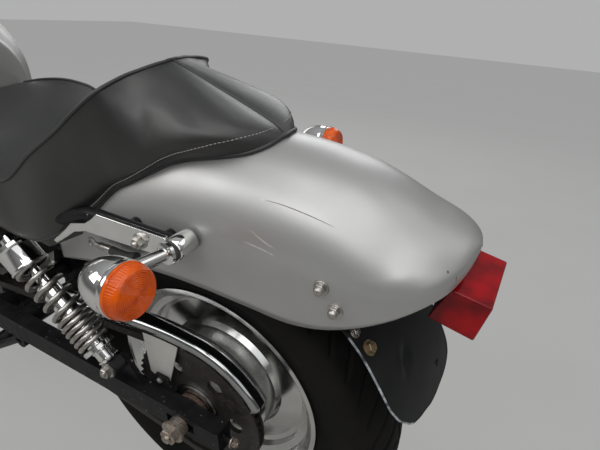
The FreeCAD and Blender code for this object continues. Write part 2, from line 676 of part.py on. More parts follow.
def main_frame():
    """Head tube, backbone, twin cradle, swingarm plates and rear rails."""
    low_t = LOWER_YOKE_T + YOKE_THICK / 2 + SEAT_GAP
    high_t = UPPER_YOKE_T - YOKE_THICK / 2 - SEAT_GAP
    head = ring(steer_point(low_t), steer_point(high_t), HEAD_TUBE_RADIUS, STEM_RADIUS + SEAT_GAP)
    stem_room = rod(steer_point(low_t), steer_point(high_t), STEM_RADIUS + SEAT_GAP)
    parts = [head.fuse(backbone(BACKBONE).cut(stem_room))]
    boss_low = Vector(STAND_PIVOT) - stand_axis() * 32.0
    boss_high = Vector(STAND_PIVOT) - stand_axis() * (STAND_EYE_HALF + SEAT_GAP)
    for side in SIDES.values():
        parts += [down_tube(side, TUBE).cut(stem_room), rail(side, RAIL_TUBE)]
        cheek = [(-25.0, -40.0), (25.0, -40.0), (37.0, 0.0), (25.0, 45.0), (-25.0, 45.0), (-33.0, 0.0)]
        parts.append(plate(outline_from(from_pivot(0, 0, 0), cheek), *sorted(side * y for y in PIVOT_PLATE)))
        bore_at = Vector(PEG_AT[0], side * PEG_AT[1], PEG_AT[2])
        lug = rod(bore_at, bore_at + Y_AXIS * side * PEG_LUG, 16.0)
        arm_foot = Vector(PIVOT_X + CRADLE_REAR - 18.0, side * CRADLE_Y, CRADLE_Z + 2.0)
        arm = rod(arm_foot, bore_at + Vector(8.0, side * PEG_LUG / 2, 0), 9.0)
        parts.append(fuse([lug, arm]))
    # Each cross tube's right end
    ends = [from_pivot(-53.0, -90.0, 226.0), from_crank(CRADLE_FRONT, -CRADLE_Y, -CRADLE_DROP),
            Vector(PIVOT_X + CRADLE_REAR, -CRADLE_Y, CRADLE_Z), from_axle(300.0, -112.0, 281.0)]
    for end in ends:
        parts.append(rod(end, Vector(end.x, -end.y, end.z), TUBE - 1.0))
    parts += shock_mounts()
    for side in SIDES.values():
        for x in FENDER_BOLTS:
            parts.append(rod((x, side * (FENDER_HALF + SEAT_GAP), RAIL_Z), (x, side * RAIL_Y, RAIL_Z), 8.0))
    parts.append(rod(boss_low, boss_high, 13.0))
    parts.append(rod(boss_low, Vector(STAND_PIVOT) + stand_axis() * (STAND_EYE_HALF + 5.0), STAND_PIN))
    cuts = [rod((PIVOT_X, -ARM_OUTER, PIVOT_Z), (PIVOT_X, ARM_OUTER, PIVOT_Z), PIVOT_TUBE + SEAT_GAP)]
    for side in SIDES.values():
        bore_at = Vector(PEG_AT[0], side * PEG_AT[1], PEG_AT[2])
        cuts.append(rod(bore_at - Y_AXIS * side * 20.0, bore_at + Y_AXIS * side * 40.0, PEG_HOLE_RADIUS))
    return fuse(parts).cut(cuts)


def strut(side):
    """The flat chrome bar bolted to the rail, with the fender's bolts."""
    end = SIGNAL_AT[0] + SIGNAL_BOSS
    # Columns: x from the axle, z from the rail's middle
    outline = [(92.0, 14.0), (end + 4.0, 14.0), (end + 1.0, 1.0), (end + 4.0, -15.0), (20.0, -17.0),
               (115.0, -12.0), (168.0, -43.0), (186.0, -55.0), (190.0, -37.0), (150.0, -3.0)]
    face = side * (RAIL_Y + RAIL_TUBE)
    return plate(outline_from(Vector(0, 0, RAIL_Z), outline), *sorted((face, face + side * STRUT_THICK)))


def shock_mounts():
    """A gusset and a lug on each rail for the shock's upper eye."""
    x, z = SHOCK_HIGH
    lugs = []
    for side in SIDES.values():
        face = side * (SHOCK_Y - SHOCK_EYE_HALF - SEAT_GAP)
        lugs.append(rod((x, side * 96.0, z), (x, face, z), 17.0))
    return lugs


def stand_axis():
    """The side stand's hinge line: it folds the leg from down and out to straight back."""
    down = stand_way()
    back = Vector(-0.985, 0.12, 0.12)
    axis = down.cross(back)
    axis.normalize()
    return axis


def stand_way():
    """The direction of the leg as it stands."""
    x, y = STAND_FOOT
    way = Vector(x, y, y * math.tan(LEAN_RAD)) - Vector(STAND_PIVOT)
    way.normalize()
    return way


def side_stand():
    """A leg with a hinge eye and a round foot that is flat on the ground."""
    x, y = STAND_FOOT
    up = Vector(0, -math.sin(LEAN_RAD), math.cos(LEAN_RAD))
    ground = Vector(x, y, 0) + Vector(0, 0, (y * math.sin(LEAN_RAD) - ground_lift()) / math.cos(LEAN_RAD))
    foot = rod(ground, ground + up * FOOT_THICK, FOOT_RADIUS)
    pivot, axis = Vector(STAND_PIVOT), stand_axis()
    eye = rod(pivot - axis * STAND_EYE_HALF, pivot + axis * STAND_EYE_HALF, 17.0)
    leg = rod(pivot + stand_way() * 14.5, ground + up * FOOT_THICK * 0.6, STAND_TUBE)
    pin = rod(pivot - axis * 60.0, pivot + axis * 60.0, STAND_PIN + SEAT_GAP)
    return fuse([foot, eye, leg]).cut(pin)


def ground_lift():
    """How far the leaned tyre's round crown would sink below the ground line."""
    radius = (REAR_CROWN_HALF ** 2 + REAR_CROWN_DROP ** 2) / (2 * REAR_CROWN_DROP)
    return radius * (1 - math.cos(LEAN_RAD))


# Engine

def tilted(shape, side):
    """Stands a piece drawn on the vertical through the crankshaft on its cylinder's line."""
    shape.rotate(Vector(CRANK_X, 0, CRANK_Z), Y_AXIS, side * CYLINDER_TILT)
    return shape


def cylinder(side):
    """A finned barrel, its head and its rocker cover. Side is 1 for the front one."""
    x, z = CRANK_X, CRANK_Z
    foot = z + CASE_RADIUS
    parts = [rod((x, 0, foot - 2.0), (x, 0, z + BARREL_END), BARREL_RADIUS)]
    pitch = (BARREL_END - CASE_RADIUS) / FIN_COUNT
    for k in range(FIN_COUNT):
        low = foot + 4.0 + k * pitch
        parts.append(block((x - FIN_HALF, x + FIN_HALF), (-FIN_SIDE, FIN_SIDE), (low, low + FIN_THICK)))
    head = block((x - 50.0, x + 50.0), (-58.0, 58.0), (z + BARREL_END - 1.0, z + HEAD_END))
    parts.append(head)
    for k in range(HEAD_FIN_COUNT):
        low = z + BARREL_END + 3.0 + k * 12.0
        parts.append(block((x - FIN_HALF, x + FIN_HALF), (-FIN_SIDE, FIN_SIDE), (low, low + FIN_THICK)))
    cover = block((x - 50.0, x + 50.0), (-60.0, 60.0), (z + HEAD_END, z + COVER_END))
    cover = cover.makeFillet(14.0, [e for e in cover.Edges if e.BoundBox.ZMax > z + COVER_END - 1.0])
    parts.append(cover)
    case = rod((x, -2 * CASE_HALF, z), (x, 2 * CASE_HALF, z), CASE_RADIUS)
    return tilted(fuse(parts), side).cut(case)


def crankcase():
    """Crank chamber, gearbox, sump and the round side covers."""
    x, z = CRANK_X, CRANK_Z
    parts = [rod((x, -CASE_HALF, z), (x, CASE_HALF, z), CASE_RADIUS),
             block((PIVOT_X + 85.0, x), (-70.0, 70.0), (z - 60.0, z + 62.0)),
             block((x - 150.0, x + 80.0), (-66.0, 66.0), (z - 142.0, z)),
             rod((x, CASE_HALF - 1.0, z), (x, CASE_HALF + 30.0, z), 96.0),
             rod((x - 90.0, -CASE_HALF - 34.0, z - 6.0), (x - 90.0, -CASE_HALF + 12.0, z - 6.0), 104.0),
             rod((x + 60.0, -CASE_HALF - 14.0, z), (x + 60.0, -CASE_HALF + 1.0, z), 70.0)]
    centre = chain_layout()[1]
    parts.append(rod((centre[0], 60.0, centre[1]), (centre[0], CHAIN_Y - PLATE_OUTER - 2.0, centre[1]), 22.0))
    reach = CRADLE_Y - TUBE - SEAT_GAP
    for ahead in ENGINE_FEET:
        foot_x = (x + ahead - 14.0, x + ahead + 14.0)
        parts.append(block(foot_x, (-reach, reach), (CRADLE_Z - 7.0, CRADLE_Z + 32.0)))
    return fuse(parts)


def front_sprocket():
    """The output sprocket, a plain disc inside the chain's front turn, on its shaft."""
    _, centre, _, _, small = chain_layout()
    at = Vector(centre[0], 0, centre[1])
    disc = rod(at + Y_AXIS * (CHAIN_Y - SPROCKET_THICK / 2), at + Y_AXIS * (CHAIN_Y + SPROCKET_THICK / 2),
               small - ROLLER_RADIUS - SEAT_GAP)
    shaft = rod(at + Y_AXIS * (CHAIN_Y - PLATE_OUTER - 2.0), at + Y_AXIS * (CHAIN_Y + PLATE_OUTER), 12.0)
    return fuse([disc, shaft])


def sprocket_cover():
    """The cast cover over the output sprocket."""
    _, centre, _, _, small = chain_layout()
    x, z = centre
    low, high = CHAIN_Y + PLATE_OUTER + 4.0, CHAIN_Y + PLATE_OUTER + 18.0
    round_part = rod((x, low, z), (x, high, z), small + 22.0)
    outline = [(x, z + small + 18.0), (x + 86.0, z + 46.0), (x + 86.0, z - 52.0), (x, z - small - 18.0)]
    nose = plate(outline, low, high)
    post = rod((x + 62.0, 70.0, z), (x + 62.0, low + 1.0, z), 12.0)
    return fuse([round_part, nose, post])


def port(side, way, out):
    """A point outside a head's fins. Way is 1 on the exhaust side and -1 in the V."""
    centre = Vector(CRANK_X, 0, CRANK_Z)
    local = Vector(side * way * (FIN_HALF + out), 0, BARREL_END + PORT_ABOVE)
    turn = FreeCAD.Rotation(Y_AXIS, side * CYLINDER_TILT)
    return centre + turn.multVec(local)


def air_cleaner():
    """Carburettor body in the V, its intake stubs, and the round cleaner on the right."""
    x, z = CRANK_X, CRANK_Z + BARREL_END + 40.0
    stubs = [rod(port(side, -1, SEAT_GAP), port(side, -1, 34.0), 18.0) for side in SIDES.values()]
    return fuse([block((x - 30.0, x + 30.0), (-60.0, 40.0), (z - 26.0, z + 34.0)),
                 rod((x, -59.0, z), (x, -124.0, z), 27.0),
                 rod((x, -122.0, z), (x, -170.0, z), 86.0)] + stubs)


def radiator():
    """A slim finned block between the down tubes, on two cross stays."""
    x, z = CRANK_X + RADIATOR_AHEAD, CRANK_Z
    core = block((x, x + 28.0), (-54.0, 54.0), (z, z + RADIATOR_TALL))
    louvres = []
    count = int((RADIATOR_TALL - 30.0) / LOUVRE_PITCH) + 1
    for k in range(count):
        low = z + 16.0 + k * LOUVRE_PITCH
        louvres.append(block((x + 22.0, x + 38.0), (-48.0, 48.0), (low, low + 7.0)))
    stays = [rod((x + 14.0, -100.0, z + h), (x + 14.0, 100.0, z + h), 6.0) for h in (42.0, 140.0)]
    whole = fuse([core] + stays).cut(louvres + [down_tube(side, TUBE + SEAT_GAP) for side in SIDES.values()])
    return max(whole.Solids, key=lambda s: s.Volume)


def exhaust(route, muffler_from, muffler_to):
    """A header pipe that runs into a straight muffler."""
    head = pipe(route, PIPE_RADIUS, 90.0)
    start, end = Vector(muffler_from), Vector(muffler_to)
    way = end - start
    way.normalize()
    cone = Part.makeCone(PIPE_RADIUS, MUFFLER_RADIUS, CONE_LONG, start, way)
    can = rod(start + way * CONE_LONG, end, MUFFLER_RADIUS)
    bore = rod(end - way * 90.0, end + way * 10.0, MUFFLER_RADIUS - 14.0)
    return fuse([head, cone, can]).cut(bore)


def lower_exhaust():
    """The front cylinder's pipe, down ahead of the engine and back beside the cradle."""
    y = -MUFFLER_Y
    route = [port(1, 1, SEAT_GAP), port(1, 1, 50.0), from_crank(242.0, -70.0, 100.0),
             from_crank(228.0, -108.0, -30.0), from_crank(190.0, -150.0, -115.0),
             from_crank(70.0, -178.0, -130.0), from_crank(-210.0, y, -114.0)]
    return exhaust(route, route[-1], from_axle(-60.0, y, -89.0))


def upper_exhaust():
    """The rear cylinder's pipe, out to the right and straight back."""
    y = -MUFFLER_Y
    route = [port(-1, 1, SEAT_GAP), port(-1, 1, 40.0), from_crank(-212.0, -110.0, 130.0),
             from_crank(-238.0, -178.0, 50.0), from_crank(-310.0, y, 10.0), from_crank(-380.0, y, 10.0)]
    return exhaust(route, route[-1], from_axle(60.0, y, 15.0))


# Body

# Columns: x as a share of the tyre's radius, half width less FENDER_HALF, then above the axle the
# bottom, spring line and crown, and the shoulder radius
FENDER_TABLE = [
    (0.7138, -2.0, 235.0, 265.0, 343.0, 50.0),
    (0.4615, -1.0, 255.0, 307.0, 397.0, 54.0),
    (0.2308, 0.0, 277.0, 339.0, 439.0, 58.0),
    (0.0000, 0.0, 285.0, 359.0, 465.0, 60.0),
    (-0.2154, 0.0, 286.0, 363.0, 472.0, 60.0),
    (-0.4000, -1.0, 283.0, 363.0, 471.0, 60.0),
    (-0.5846, -2.0, 281.0, 359.0, 465.0, 60.0),
    (-0.7077, -3.0, 289.0, 355.0, 457.0, 59.0),
    (-0.8062, -5.0, 302.0, 352.0, 446.0, 56.0),
    (-0.8985, -9.0, 318.0, 351.0, 433.0, 50.0),
    (-0.9785, -15.0, 335.0, 355.0, 421.0, 44.0),
    (-1.0462, -27.0, 350.0, 359.0, 413.0, 36.0),
    (-1.1015, -48.0, 361.0, 367.0, 405.0, 24.0),
    (-1.1446, -80.0, 376.0, 379.0, 396.0, 11.0),
]
FENDER_ROWS = [(share * REAR_RADIUS, FENDER_HALF + wider, REAR_RADIUS + bottom, REAR_RADIUS + spring,
                REAR_RADIUS + crown, shoulder)
               for share, wider, bottom, spring, crown, shoulder in FENDER_TABLE]


def rear_fender():
    """The fender's sheet: one arch inside another."""
    outer = arch_loft(FENDER_ROWS)
    front = (FENDER_ROWS[0][0] + SHEET,) + FENDER_ROWS[0][1:]
    inner = arch_loft([front] + FENDER_ROWS[:-1], -SHEET, 12.0)
    return outer.cut(inner)


def lamp_front():
    """The two ends of the tail lamp's front face, low then high, at the fender's tip."""
    return from_axle(-1.0431 * REAR_RADIUS, 0, 309.0), from_axle(-1.1015 * REAR_RADIUS, 0, 357.0)


def inner_mudguard():
    """The black plate that follows the tyre below the fender's tail."""
    radius, thick, wide = REAR_RADIUS + MUDGUARD_ROOM, SHEET, MUDGUARD_HALF
    shell = ring(REAR_AXLE - Y_AXIS * wide, REAR_AXLE + Y_AXIS * wide, radius + thick, radius)
    # Columns: half width of the plate's outline, and its height as a share of the radius
    half = [(wide, 0.8726), (wide, 0.7562), (wide - 23.2, 0.7064), (wide - 39.2, 0.4183), (wide - 59.2, 0.3075)]
    back = -radius - 2 * thick
    corners = [from_axle(back, y, share * radius) for y, share in half]
    corners += [from_axle(back, -y, share * radius) for y, share in half[::-1]]
    prism = Part.Face(Part.makePolygon(corners + corners[:1])).extrude(Vector(-back - 120.0, 0, 0))
    parts = [shell.common(prism)]

    def on_shell(angle):
        turn = math.radians(angle)
        at = from_axle(-(radius + thick / 2) * math.cos(turn), 0, (radius + thick / 2) * math.sin(turn))
        return at.x, at.z

    # Columns: x and the height above the axle, as shares of the radius
    inside = [(-0.7258, 0.8726), (-0.7091, 0.9501), (-0.6150, 0.9501)]
    flange = [on_shell(58.3), on_shell(48.7)] + [(x * radius, REAR_RADIUS + z * radius) for x, z in inside]
    for side in SIDES.values():
        parts.append(plate(flange, *sorted((side * (wide - thick), side * wide))))
    foot, head = lamp_front()
    arm = [on_shell(51.7), on_shell(47.5), (foot.x + SEAT_GAP, foot.z), (head.x + SEAT_GAP, head.z),
           (-0.9231 * REAR_RADIUS, REAR_RADIUS + 355.0)]
    parts.append(plate(arm, -20.0, 20.0))
    return fuse(parts)


def tail_lamp():
    """The faceted red lamp at the tip of the fender."""
    foot, head = lamp_front()
    outline = [(head.x - 46.0, head.z - 9.0), (foot.x - 54.0, foot.z - 12.0), (foot.x, foot.z),
               (head.x, head.z)]
    return plate(outline, -TAIL_LAMP_HALF, TAIL_LAMP_HALF)


def seat():
    """Rider's scoop and raised pillion hump, cut to sit on the fender and over the frame."""
    # Columns: x, half width, then above the axle the bottom, spring line and crown, shoulder radius
    table = [
        (PIVOT_X + 30.0, 98.0, 330.0, 370.0, 411.0, 30.0),
        (PIVOT_X - 65.0, 128.0, 315.0, 347.0, 379.0, 24.0),
        (330.0, 148.0, 285.0, 339.0, 375.0, 26.0),
        (250.0, 140.0, 287.0, 347.0, 391.0, 30.0),
        (171.0, 120.0, 315.0, 375.0, 431.0, 36.0),
        (95.0, 112.0, 365.0, 415.0, 493.0, 40.0),
        (49.0, 100.0, 385.0, 435.0, 533.0, 42.0),
        (5.0, 90.0, 395.0, 475.0, 559.0, 46.0),
        (-40.0, 72.0, 415.0, 475.0, 541.0, 36.0),
        (-84.0, 48.0, 435.0, 470.0, 513.0, 26.0),
        (-127.0, 12.0, 465.0, 476.0, 487.0, 6.0),
    ]
    rows = [(x, half, REAR_RADIUS + bottom, REAR_RADIUS + spring, REAR_RADIUS + crown, shoulder)
            for x, half, bottom, spring, crown, shoulder in table]
    body = arch_loft(rows)
    front, low = FENDER_ROWS[0][0] - SHEET, REAR_RADIUS + 175.0
    tools = [arch_loft(FENDER_ROWS, SEAT_GAP, 60.0),
             block((front, PIVOT_X + 185.0), (-98.0, 98.0), (low, REAR_RADIUS + 327.0)),
             block((front, 360.0), (-128.0, 128.0), (low, REAR_RADIUS + 301.0)),
             backbone(BACKBONE + SEAT_CLEAR)]
    for side in SIDES.values():
        tools.append(rail(side, RAIL_TUBE + SEAT_CLEAR))
        tools.append(down_tube(side, TUBE + SEAT_CLEAR))
    for tool in tools:
        body = body.cut(tool)
    return max(body.Solids, key=lambda s: s.Volume)


def fuel_tank():
    """The teardrop tank, with a tunnel over the backbone and a filler cap."""
    head = steer_point(HEAD_T)
    # Columns: from the crankshaft the x, half width, bottom, spring line, crown, shoulder radius
    table = [
        (-302.0, 104.0, 386.0, 428.0, 520.0, 46.0),
        (-284.0, 128.0, 386.0, 436.0, 562.0, 66.0),
        (-230.0, 148.0, 390.0, 456.0, 596.0, 84.0),
        (-90.0, 162.0, 398.0, 476.0, 614.0, 92.0),
        (80.0, 152.0, 412.0, 490.0, 612.0, 84.0),
    ]
    # The same columns, from the middle of the steering head
    nose = [
        (-192.0, 118.0, -10.0, 54.0, 138.0, 64.0),
        (-124.0, 62.0, 18.0, 60.0, 104.0, 28.0),
    ]
    rows = []
    for at, part in ((from_crank(0, 0, 0), table), (head, nose)):
        for x, half, bottom, spring, crown, shoulder in part:
            rows.append((at.x + x, half, at.z + bottom, at.z + spring, at.z + crown, shoulder))
    body = arch_loft(rows)
    wide = BACKBONE + SEAT_GAP
    low = block((rows[0][0] - 12.0, head.x), (-wide, wide), (CRANK_Z + 270.0, CRANK_Z + 404.0))
    room_low, room_high = steer_point(LOWER_YOKE_T - 18.0), steer_point(UPPER_YOKE_T + 50.0)
    head_room = rod(room_low, room_high, HEAD_TUBE_RADIUS + 4.0)
    cap = rod(from_crank(0, 0, 600.0), from_crank(0, 0, 626.0), 32.0)
    return fuse([body, cap]).cut([backbone(wide), low, head_room])


def battery_box():
    """The box under the rider, between the frame tubes."""
    y = BATTERY_HALF
    box = block((PIVOT_X - 29.0, PIVOT_X + 73.0), (-y, y), (PIVOT_Z + 72.0, PIVOT_Z + 188.0))
    cut = box.cut([down_tube(side, TUBE + SEAT_GAP) for side in SIDES.values()])
    return max(cut.Solids, key=lambda s: s.Volume)


def side_cover(side):
    """A rounded panel over the battery box's side."""
    outline = [(-45.0, 80.0), (51.0, 90.0), (75.0, 160.0), (59.0, 288.0), (-25.0, 288.0)]
    y = sorted((side * COVER_Y, side * (COVER_Y + 6.0)))
    panel = plate(outline_from(from_pivot(0, 0, 0), outline), *y)
    inner, outer = side * (BATTERY_HALF + SEAT_GAP), side * (COVER_Y + 1.0)
    posts = []
    for x, z in ((25.0, 110.0), (41.0, 165.0)):
        posts.append(rod(from_pivot(x, inner, z), from_pivot(x, outer, z), 8.0))
    return fuse([panel] + posts)


# Small pieces at the rear

def signal_shell(face, nose):
    """A chrome bullet: a short round band behind the lens, then an ogive nose."""
    up = Vector(0, 0, 1)

    def at(back, radius):
        return face + nose * back + up * radius

    r, band = SIGNAL_RADIUS, LENS_DEPTH + SIGNAL_BAND
    tip, waist = band + SIGNAL_NOSE, band + SIGNAL_NOSE * 0.76
    edges = [
        Part.LineSegment(at(LENS_DEPTH, 0), at(LENS_DEPTH, r)),
        Part.LineSegment(at(LENS_DEPTH, r), at(band, r)),
        Part.Arc(at(band, r), at(band + SIGNAL_NOSE * 0.45, r * 0.9), at(waist, r * 0.65)),
        Part.Arc(at(waist, r * 0.65), at(band + SIGNAL_NOSE * 0.93, r * 0.36), at(tip, TIP_FLAT)),
        Part.LineSegment(at(tip, TIP_FLAT), at(tip, 0)),
        Part.LineSegment(at(tip, 0), at(LENS_DEPTH, 0)),
    ]
    return turned(edges, face, nose)


def signal_lens(face, nose):
    """The amber lens, with a rounded front edge, against the shell's open end."""
    lens = rod(face, face + nose * (LENS_DEPTH - SEAT_GAP), LENS_RADIUS)
    return lens.makeFillet(4.0, [e for e in lens.Edges if (e.BoundBox.Center - face).Length < 1.0])


def rear_indicators():
    """The two rear turn signals: a boss at the rail's end, a stem with its flange, and the shell."""
    face = from_axle(*SIGNAL_FACE)
    x, z = SIGNAL_AT
    outside = RAIL_Y + RAIL_TUBE + STRUT_THICK
    boss = rod(from_axle(x, FENDER_HALF + 6.0, z), from_axle(x, outside + 3.0, z), SIGNAL_BOSS)
    flange = rod(from_axle(x, outside + 2.0, z), from_axle(x, outside + 10.0, z), SIGNAL_BOSS - 3.0)
    stem_head = face + Vector(SIGNAL_BAND + LENS_DEPTH + 10.0, 0, 0)
    stem = rod(from_axle(x, outside + 4.0, z), stem_head, SIGNAL_STEM)
    return both_sides(fuse([signal_shell(face, Vector(1, 0, 0)), boss, flange, stem]))


def rear_signal_lenses():
    """The two amber lenses at the rear."""
    return both_sides(signal_lens(from_axle(*SIGNAL_FACE), Vector(1, 0, 0)))


def rear_axle():
    """The axle through both arms, with its nuts and the spacers beside the wheel."""
    reach = ARM_OUTER + 26.0
    left_face = CARRIER_FACE + 12.0
    right_face = REAR_RIM_HALF + 18.0
    return fuse([
        rod(REAR_AXLE - Y_AXIS * reach, REAR_AXLE + Y_AXIS * reach, AXLE_RADIUS),
        rod(REAR_AXLE + Y_AXIS * ARM_OUTER, REAR_AXLE + Y_AXIS * (ARM_OUTER + 16.0), 17.0),
        rod(REAR_AXLE - Y_AXIS * ARM_OUTER, REAR_AXLE - Y_AXIS * (ARM_OUTER + 16.0), 17.0),
        rod(REAR_AXLE + Y_AXIS * (left_face + SEAT_GAP), REAR_AXLE + Y_AXIS * ARM_INNER, 14.0),
        rod(REAR_AXLE - Y_AXIS * (right_face + 20.0), REAR_AXLE - Y_AXIS * ARM_INNER, 14.0),
    ])


def brake_plate():
    """The drum's back plate with its cam lever, and the torque arm to the swingarm."""
    inner, outer = REAR_RIM_HALF + 18.0 + SEAT_GAP, REAR_RIM_HALF + 38.0
    disc = rod(REAR_AXLE - Y_AXIS * inner, REAR_AXLE - Y_AXIS * outer, REAR_HUB_RADIUS - 12.0)
    cam = rod(from_axle(62.0, -outer, 40.0), from_axle(62.0, -outer - 14.0, 40.0), 10.0)
    lever = block((56.0, 68.0), (-outer - 14.0, -outer - 8.0), (REAR_RADIUS - 60.0, REAR_RADIUS + 46.0))
    arm = pipe([from_axle(70.0, -outer + 6.0, -72.0), from_axle(200.0, -outer - 4.0, -60.0),
                from_axle(330.0, -ARM_INNER - 10.0, -22.0)], 7.0)
    body = fuse([disc, cam, lever, arm])
    return body.cut(rod(REAR_AXLE - Y_AXIS * 200.0, REAR_AXLE, 14.0 + SEAT_GAP))


def foot_controls():
    """Rider's foot pegs on their plates, with the brake pedal and the shift lever."""
    parts = []
    for side in SIDES.values():
        y = CRADLE_Y + TUBE
        foot = -CRADLE_DROP - 10.0
        outline = [(50.0, foot), (120.0, foot), (112.0, -30.0), (75.0, -8.0), (54.0, -30.0)]
        hanger = plate(outline_from(from_crank(0, 0, 0), outline), *sorted((side * y, side * (y + 9.0))))
        peg = rod(from_crank(84.0, side * y, -30.0), from_crank(84.0, side * (y + PEG_LONG), -30.0), 13.0)
        route = [from_crank(84.0, side * (y + 26.0), -68.0), from_crank(190.0, side * (y + 36.0), -60.0),
                 from_crank(260.0, side * (y + 44.0), -28.0), from_crank(266.0, side * (y + 82.0), -24.0)]
        pedal = pipe(route, 7.0, 30.0)
        post = rod(from_crank(84.0, side * y, -68.0), from_crank(84.0, side * (y + 32.0), -68.0), 11.0)
        parts.append(fuse([hanger, peg, pedal, post]))
    return Part.makeCompound(parts)


# Front end

def steer_frame(shape):
    """Moves a piece drawn with the steering axis on Z, ahead along X, into its place."""
    shape.rotate(Vector(0, 0, 0), Y_AXIS, -RAKE)
    shape.translate(STEER_FOOT)
    return shape


def yokes():
    """Lower and upper yokes on one stem, with the bar risers."""
    wide = FORK_Y + SLIDER_RADIUS + 4.0
    ahead = FORK_OFFSET
    parts = []
    for t in (LOWER_YOKE_T, UPPER_YOKE_T):
        low, high = t - YOKE_THICK / 2, t + YOKE_THICK / 2
        middle = block((0.0, ahead + 14.0), (-50.0, 50.0), (low, high))
        parts.append(rod((0, 0, low), (0, 0, high), 34.0))
        bridge = block((ahead - 26.0, ahead + 20.0), (-FORK_Y, FORK_Y), (low, high))
        parts += [middle, bridge]
        for side in SIDES.values():
            parts.append(rod((ahead, side * FORK_Y, low), (ahead, side * FORK_Y, high), wide - FORK_Y))
    parts.append(rod((0, 0, LOWER_YOKE_T), (0, 0, UPPER_YOKE_T + YOKE_THICK / 2 + 8.0), STEM_RADIUS))
    top = UPPER_YOKE_T + YOKE_THICK / 2
    for side in SIDES.values():
        riser = sorted((side * 22.0, side * 48.0))
        parts.append(block((BAR_AHEAD - 16.0, BAR_AHEAD + 16.0), riser, (top - 1.0, top + BAR_RISE + 20.0)))
    whole = fuse(parts)
    cuts = []
    for side in SIDES.values():
        leg = (ahead, side * FORK_Y)
        cuts.append(rod((*leg, LOWER_YOKE_T - 150.0), (*leg, UPPER_YOKE_T + 150.0), FORK_TUBE_RADIUS))
    cuts.append(rod((BAR_AHEAD, -100.0, top + BAR_RISE), (BAR_AHEAD, 100.0, top + BAR_RISE), BAR_RADIUS))
    return steer_frame(whole.cut(cuts))


def fork(side):
    """One fork leg: stanchion, slider and its axle lug."""
    y, ahead = side * FORK_Y, FORK_OFFSET
    top = UPPER_YOKE_T + YOKE_THICK / 2
    parts = [rod((ahead, y, SLIDER_TOP_T - 40.0), (ahead, y, top + 8.0), FORK_TUBE_RADIUS),
             rod((ahead, y, AXLE_T - 36.0), (ahead, y, SLIDER_TOP_T), SLIDER_RADIUS),
             rod((ahead, y, SLIDER_TOP_T), (ahead, y, SLIDER_TOP_T + 14.0), SLIDER_RADIUS + 3.0)]
    leg = fuse(parts)
    leg = leg.cut(rod((ahead, y - 60.0, AXLE_T), (ahead, y + 60.0, AXLE_T), AXLE_RADIUS + SEAT_GAP))
    return steer_frame(leg)


def front_axle():
    """The axle through the hub, with a spacer on each side."""
    end = FORK_Y + SLIDER_RADIUS + 8.0
    left_face = FRONT_HUB_HALF + 2 * SEAT_GAP + BRAKE_DISC_THICK
    inside = FORK_Y - SLIDER_RADIUS - SEAT_GAP
    return fuse([
        rod(FRONT_AXLE - Y_AXIS * end, FRONT_AXLE + Y_AXIS * end, AXLE_RADIUS),
        rod(FRONT_AXLE + Y_AXIS * left_face, FRONT_AXLE + Y_AXIS * inside, 14.0),
        rod(FRONT_AXLE - Y_AXIS * (FRONT_HUB_HALF + SEAT_GAP), FRONT_AXLE - Y_AXIS * inside, 14.0),
        rod(FRONT_AXLE - Y_AXIS * (end - 6.0), FRONT_AXLE - Y_AXIS * (end + 8.0), 15.0),
        rod(FRONT_AXLE + Y_AXIS * (end - 6.0), FRONT_AXLE + Y_AXIS * (end + 8.0), 15.0),
    ])


def bar_points():
    """The handlebar's route from the left grip's end to the right one's."""
    top = UPPER_YOKE_T + YOKE_THICK / 2 + BAR_RISE
    clamp = steer_point(top, BAR_AHEAD)
    half = [clamp + Vector(-210.0, 436.0, 80.0), clamp + Vector(-14.0, 374.0, 120.0),
            clamp + Vector(30.0, 232.0, 106.0), clamp + Vector(0, 104.0, 0)]
    return half + [Vector(p.x, -p.y, p.z) for p in reversed(half)]


def handlebar():
    return pipe(bar_points(), BAR_RADIUS, 70.0)


def grip_way(side):
    """The end of the bar on one side and the direction from it along the grip."""
    end, corner = bar_points()[:2]
    way = corner - end
    way.normalize()
    return Vector(end.x, side * end.y, end.z), Vector(way.x, side * way.y, way.z)


def grips():
    """Two rubber sleeves on the bar's ends."""
    parts = []
    for side in SIDES.values():
        end, way = grip_way(side)
        parts.append(ring(end - way * 4.0, end + way * 124.0, GRIP_RADIUS, BAR_RADIUS + PRESS_GAP)
                     .fuse(rod(end - way * 4.0, end, GRIP_RADIUS)))
    return Part.makeCompound([p.removeSplitter() for p in parts])


def hand_controls():
    """Clutch and brake perches with their levers, reservoirs and round mirrors."""
    parts = []
    for side in SIDES.values():
        end, way = grip_way(side)
        ahead = Vector(0, 0, 1).cross(way) * -side
        if ahead.x < 0:
            ahead = ahead * -1
        ahead.normalize()
        up = Vector(0, 0, 1)
        start = end + way * 128.0
        clamp = rod(start, start + way * 40.0, 21.0)
        perch = rod(start + way * 20.0, start + way * 20.0 + ahead * 42.0, 13.0)
        pivot = start + way * 20.0 + ahead * 40.0
        lever = pipe([pivot, pivot - way * 40.0 + ahead * 14.0, pivot - way * 158.0 + ahead * 6.0], 5.5, 30.0)
        stalk_foot = start + way * 28.0 + up * 16.0
        stalk = pipe([stalk_foot, stalk_foot + up * 70.0 + ahead * 30.0,
                      stalk_foot + up * 130.0 - way * 70.0 + ahead * 10.0], 5.0, 40.0)
        glass = stalk_foot + up * 130.0 - way * 70.0 + ahead * 10.0
        mirror = rod(glass + Vector(-4.0, 0, 0), glass + Vector(14.0, 0, 0), 52.0)
        whole = fuse([clamp, perch, lever, stalk, mirror])
        parts.append(whole.cut(rod(start - way * 10.0, start + way * 60.0, BAR_RADIUS + PRESS_GAP)))
    return Part.makeCompound(parts)


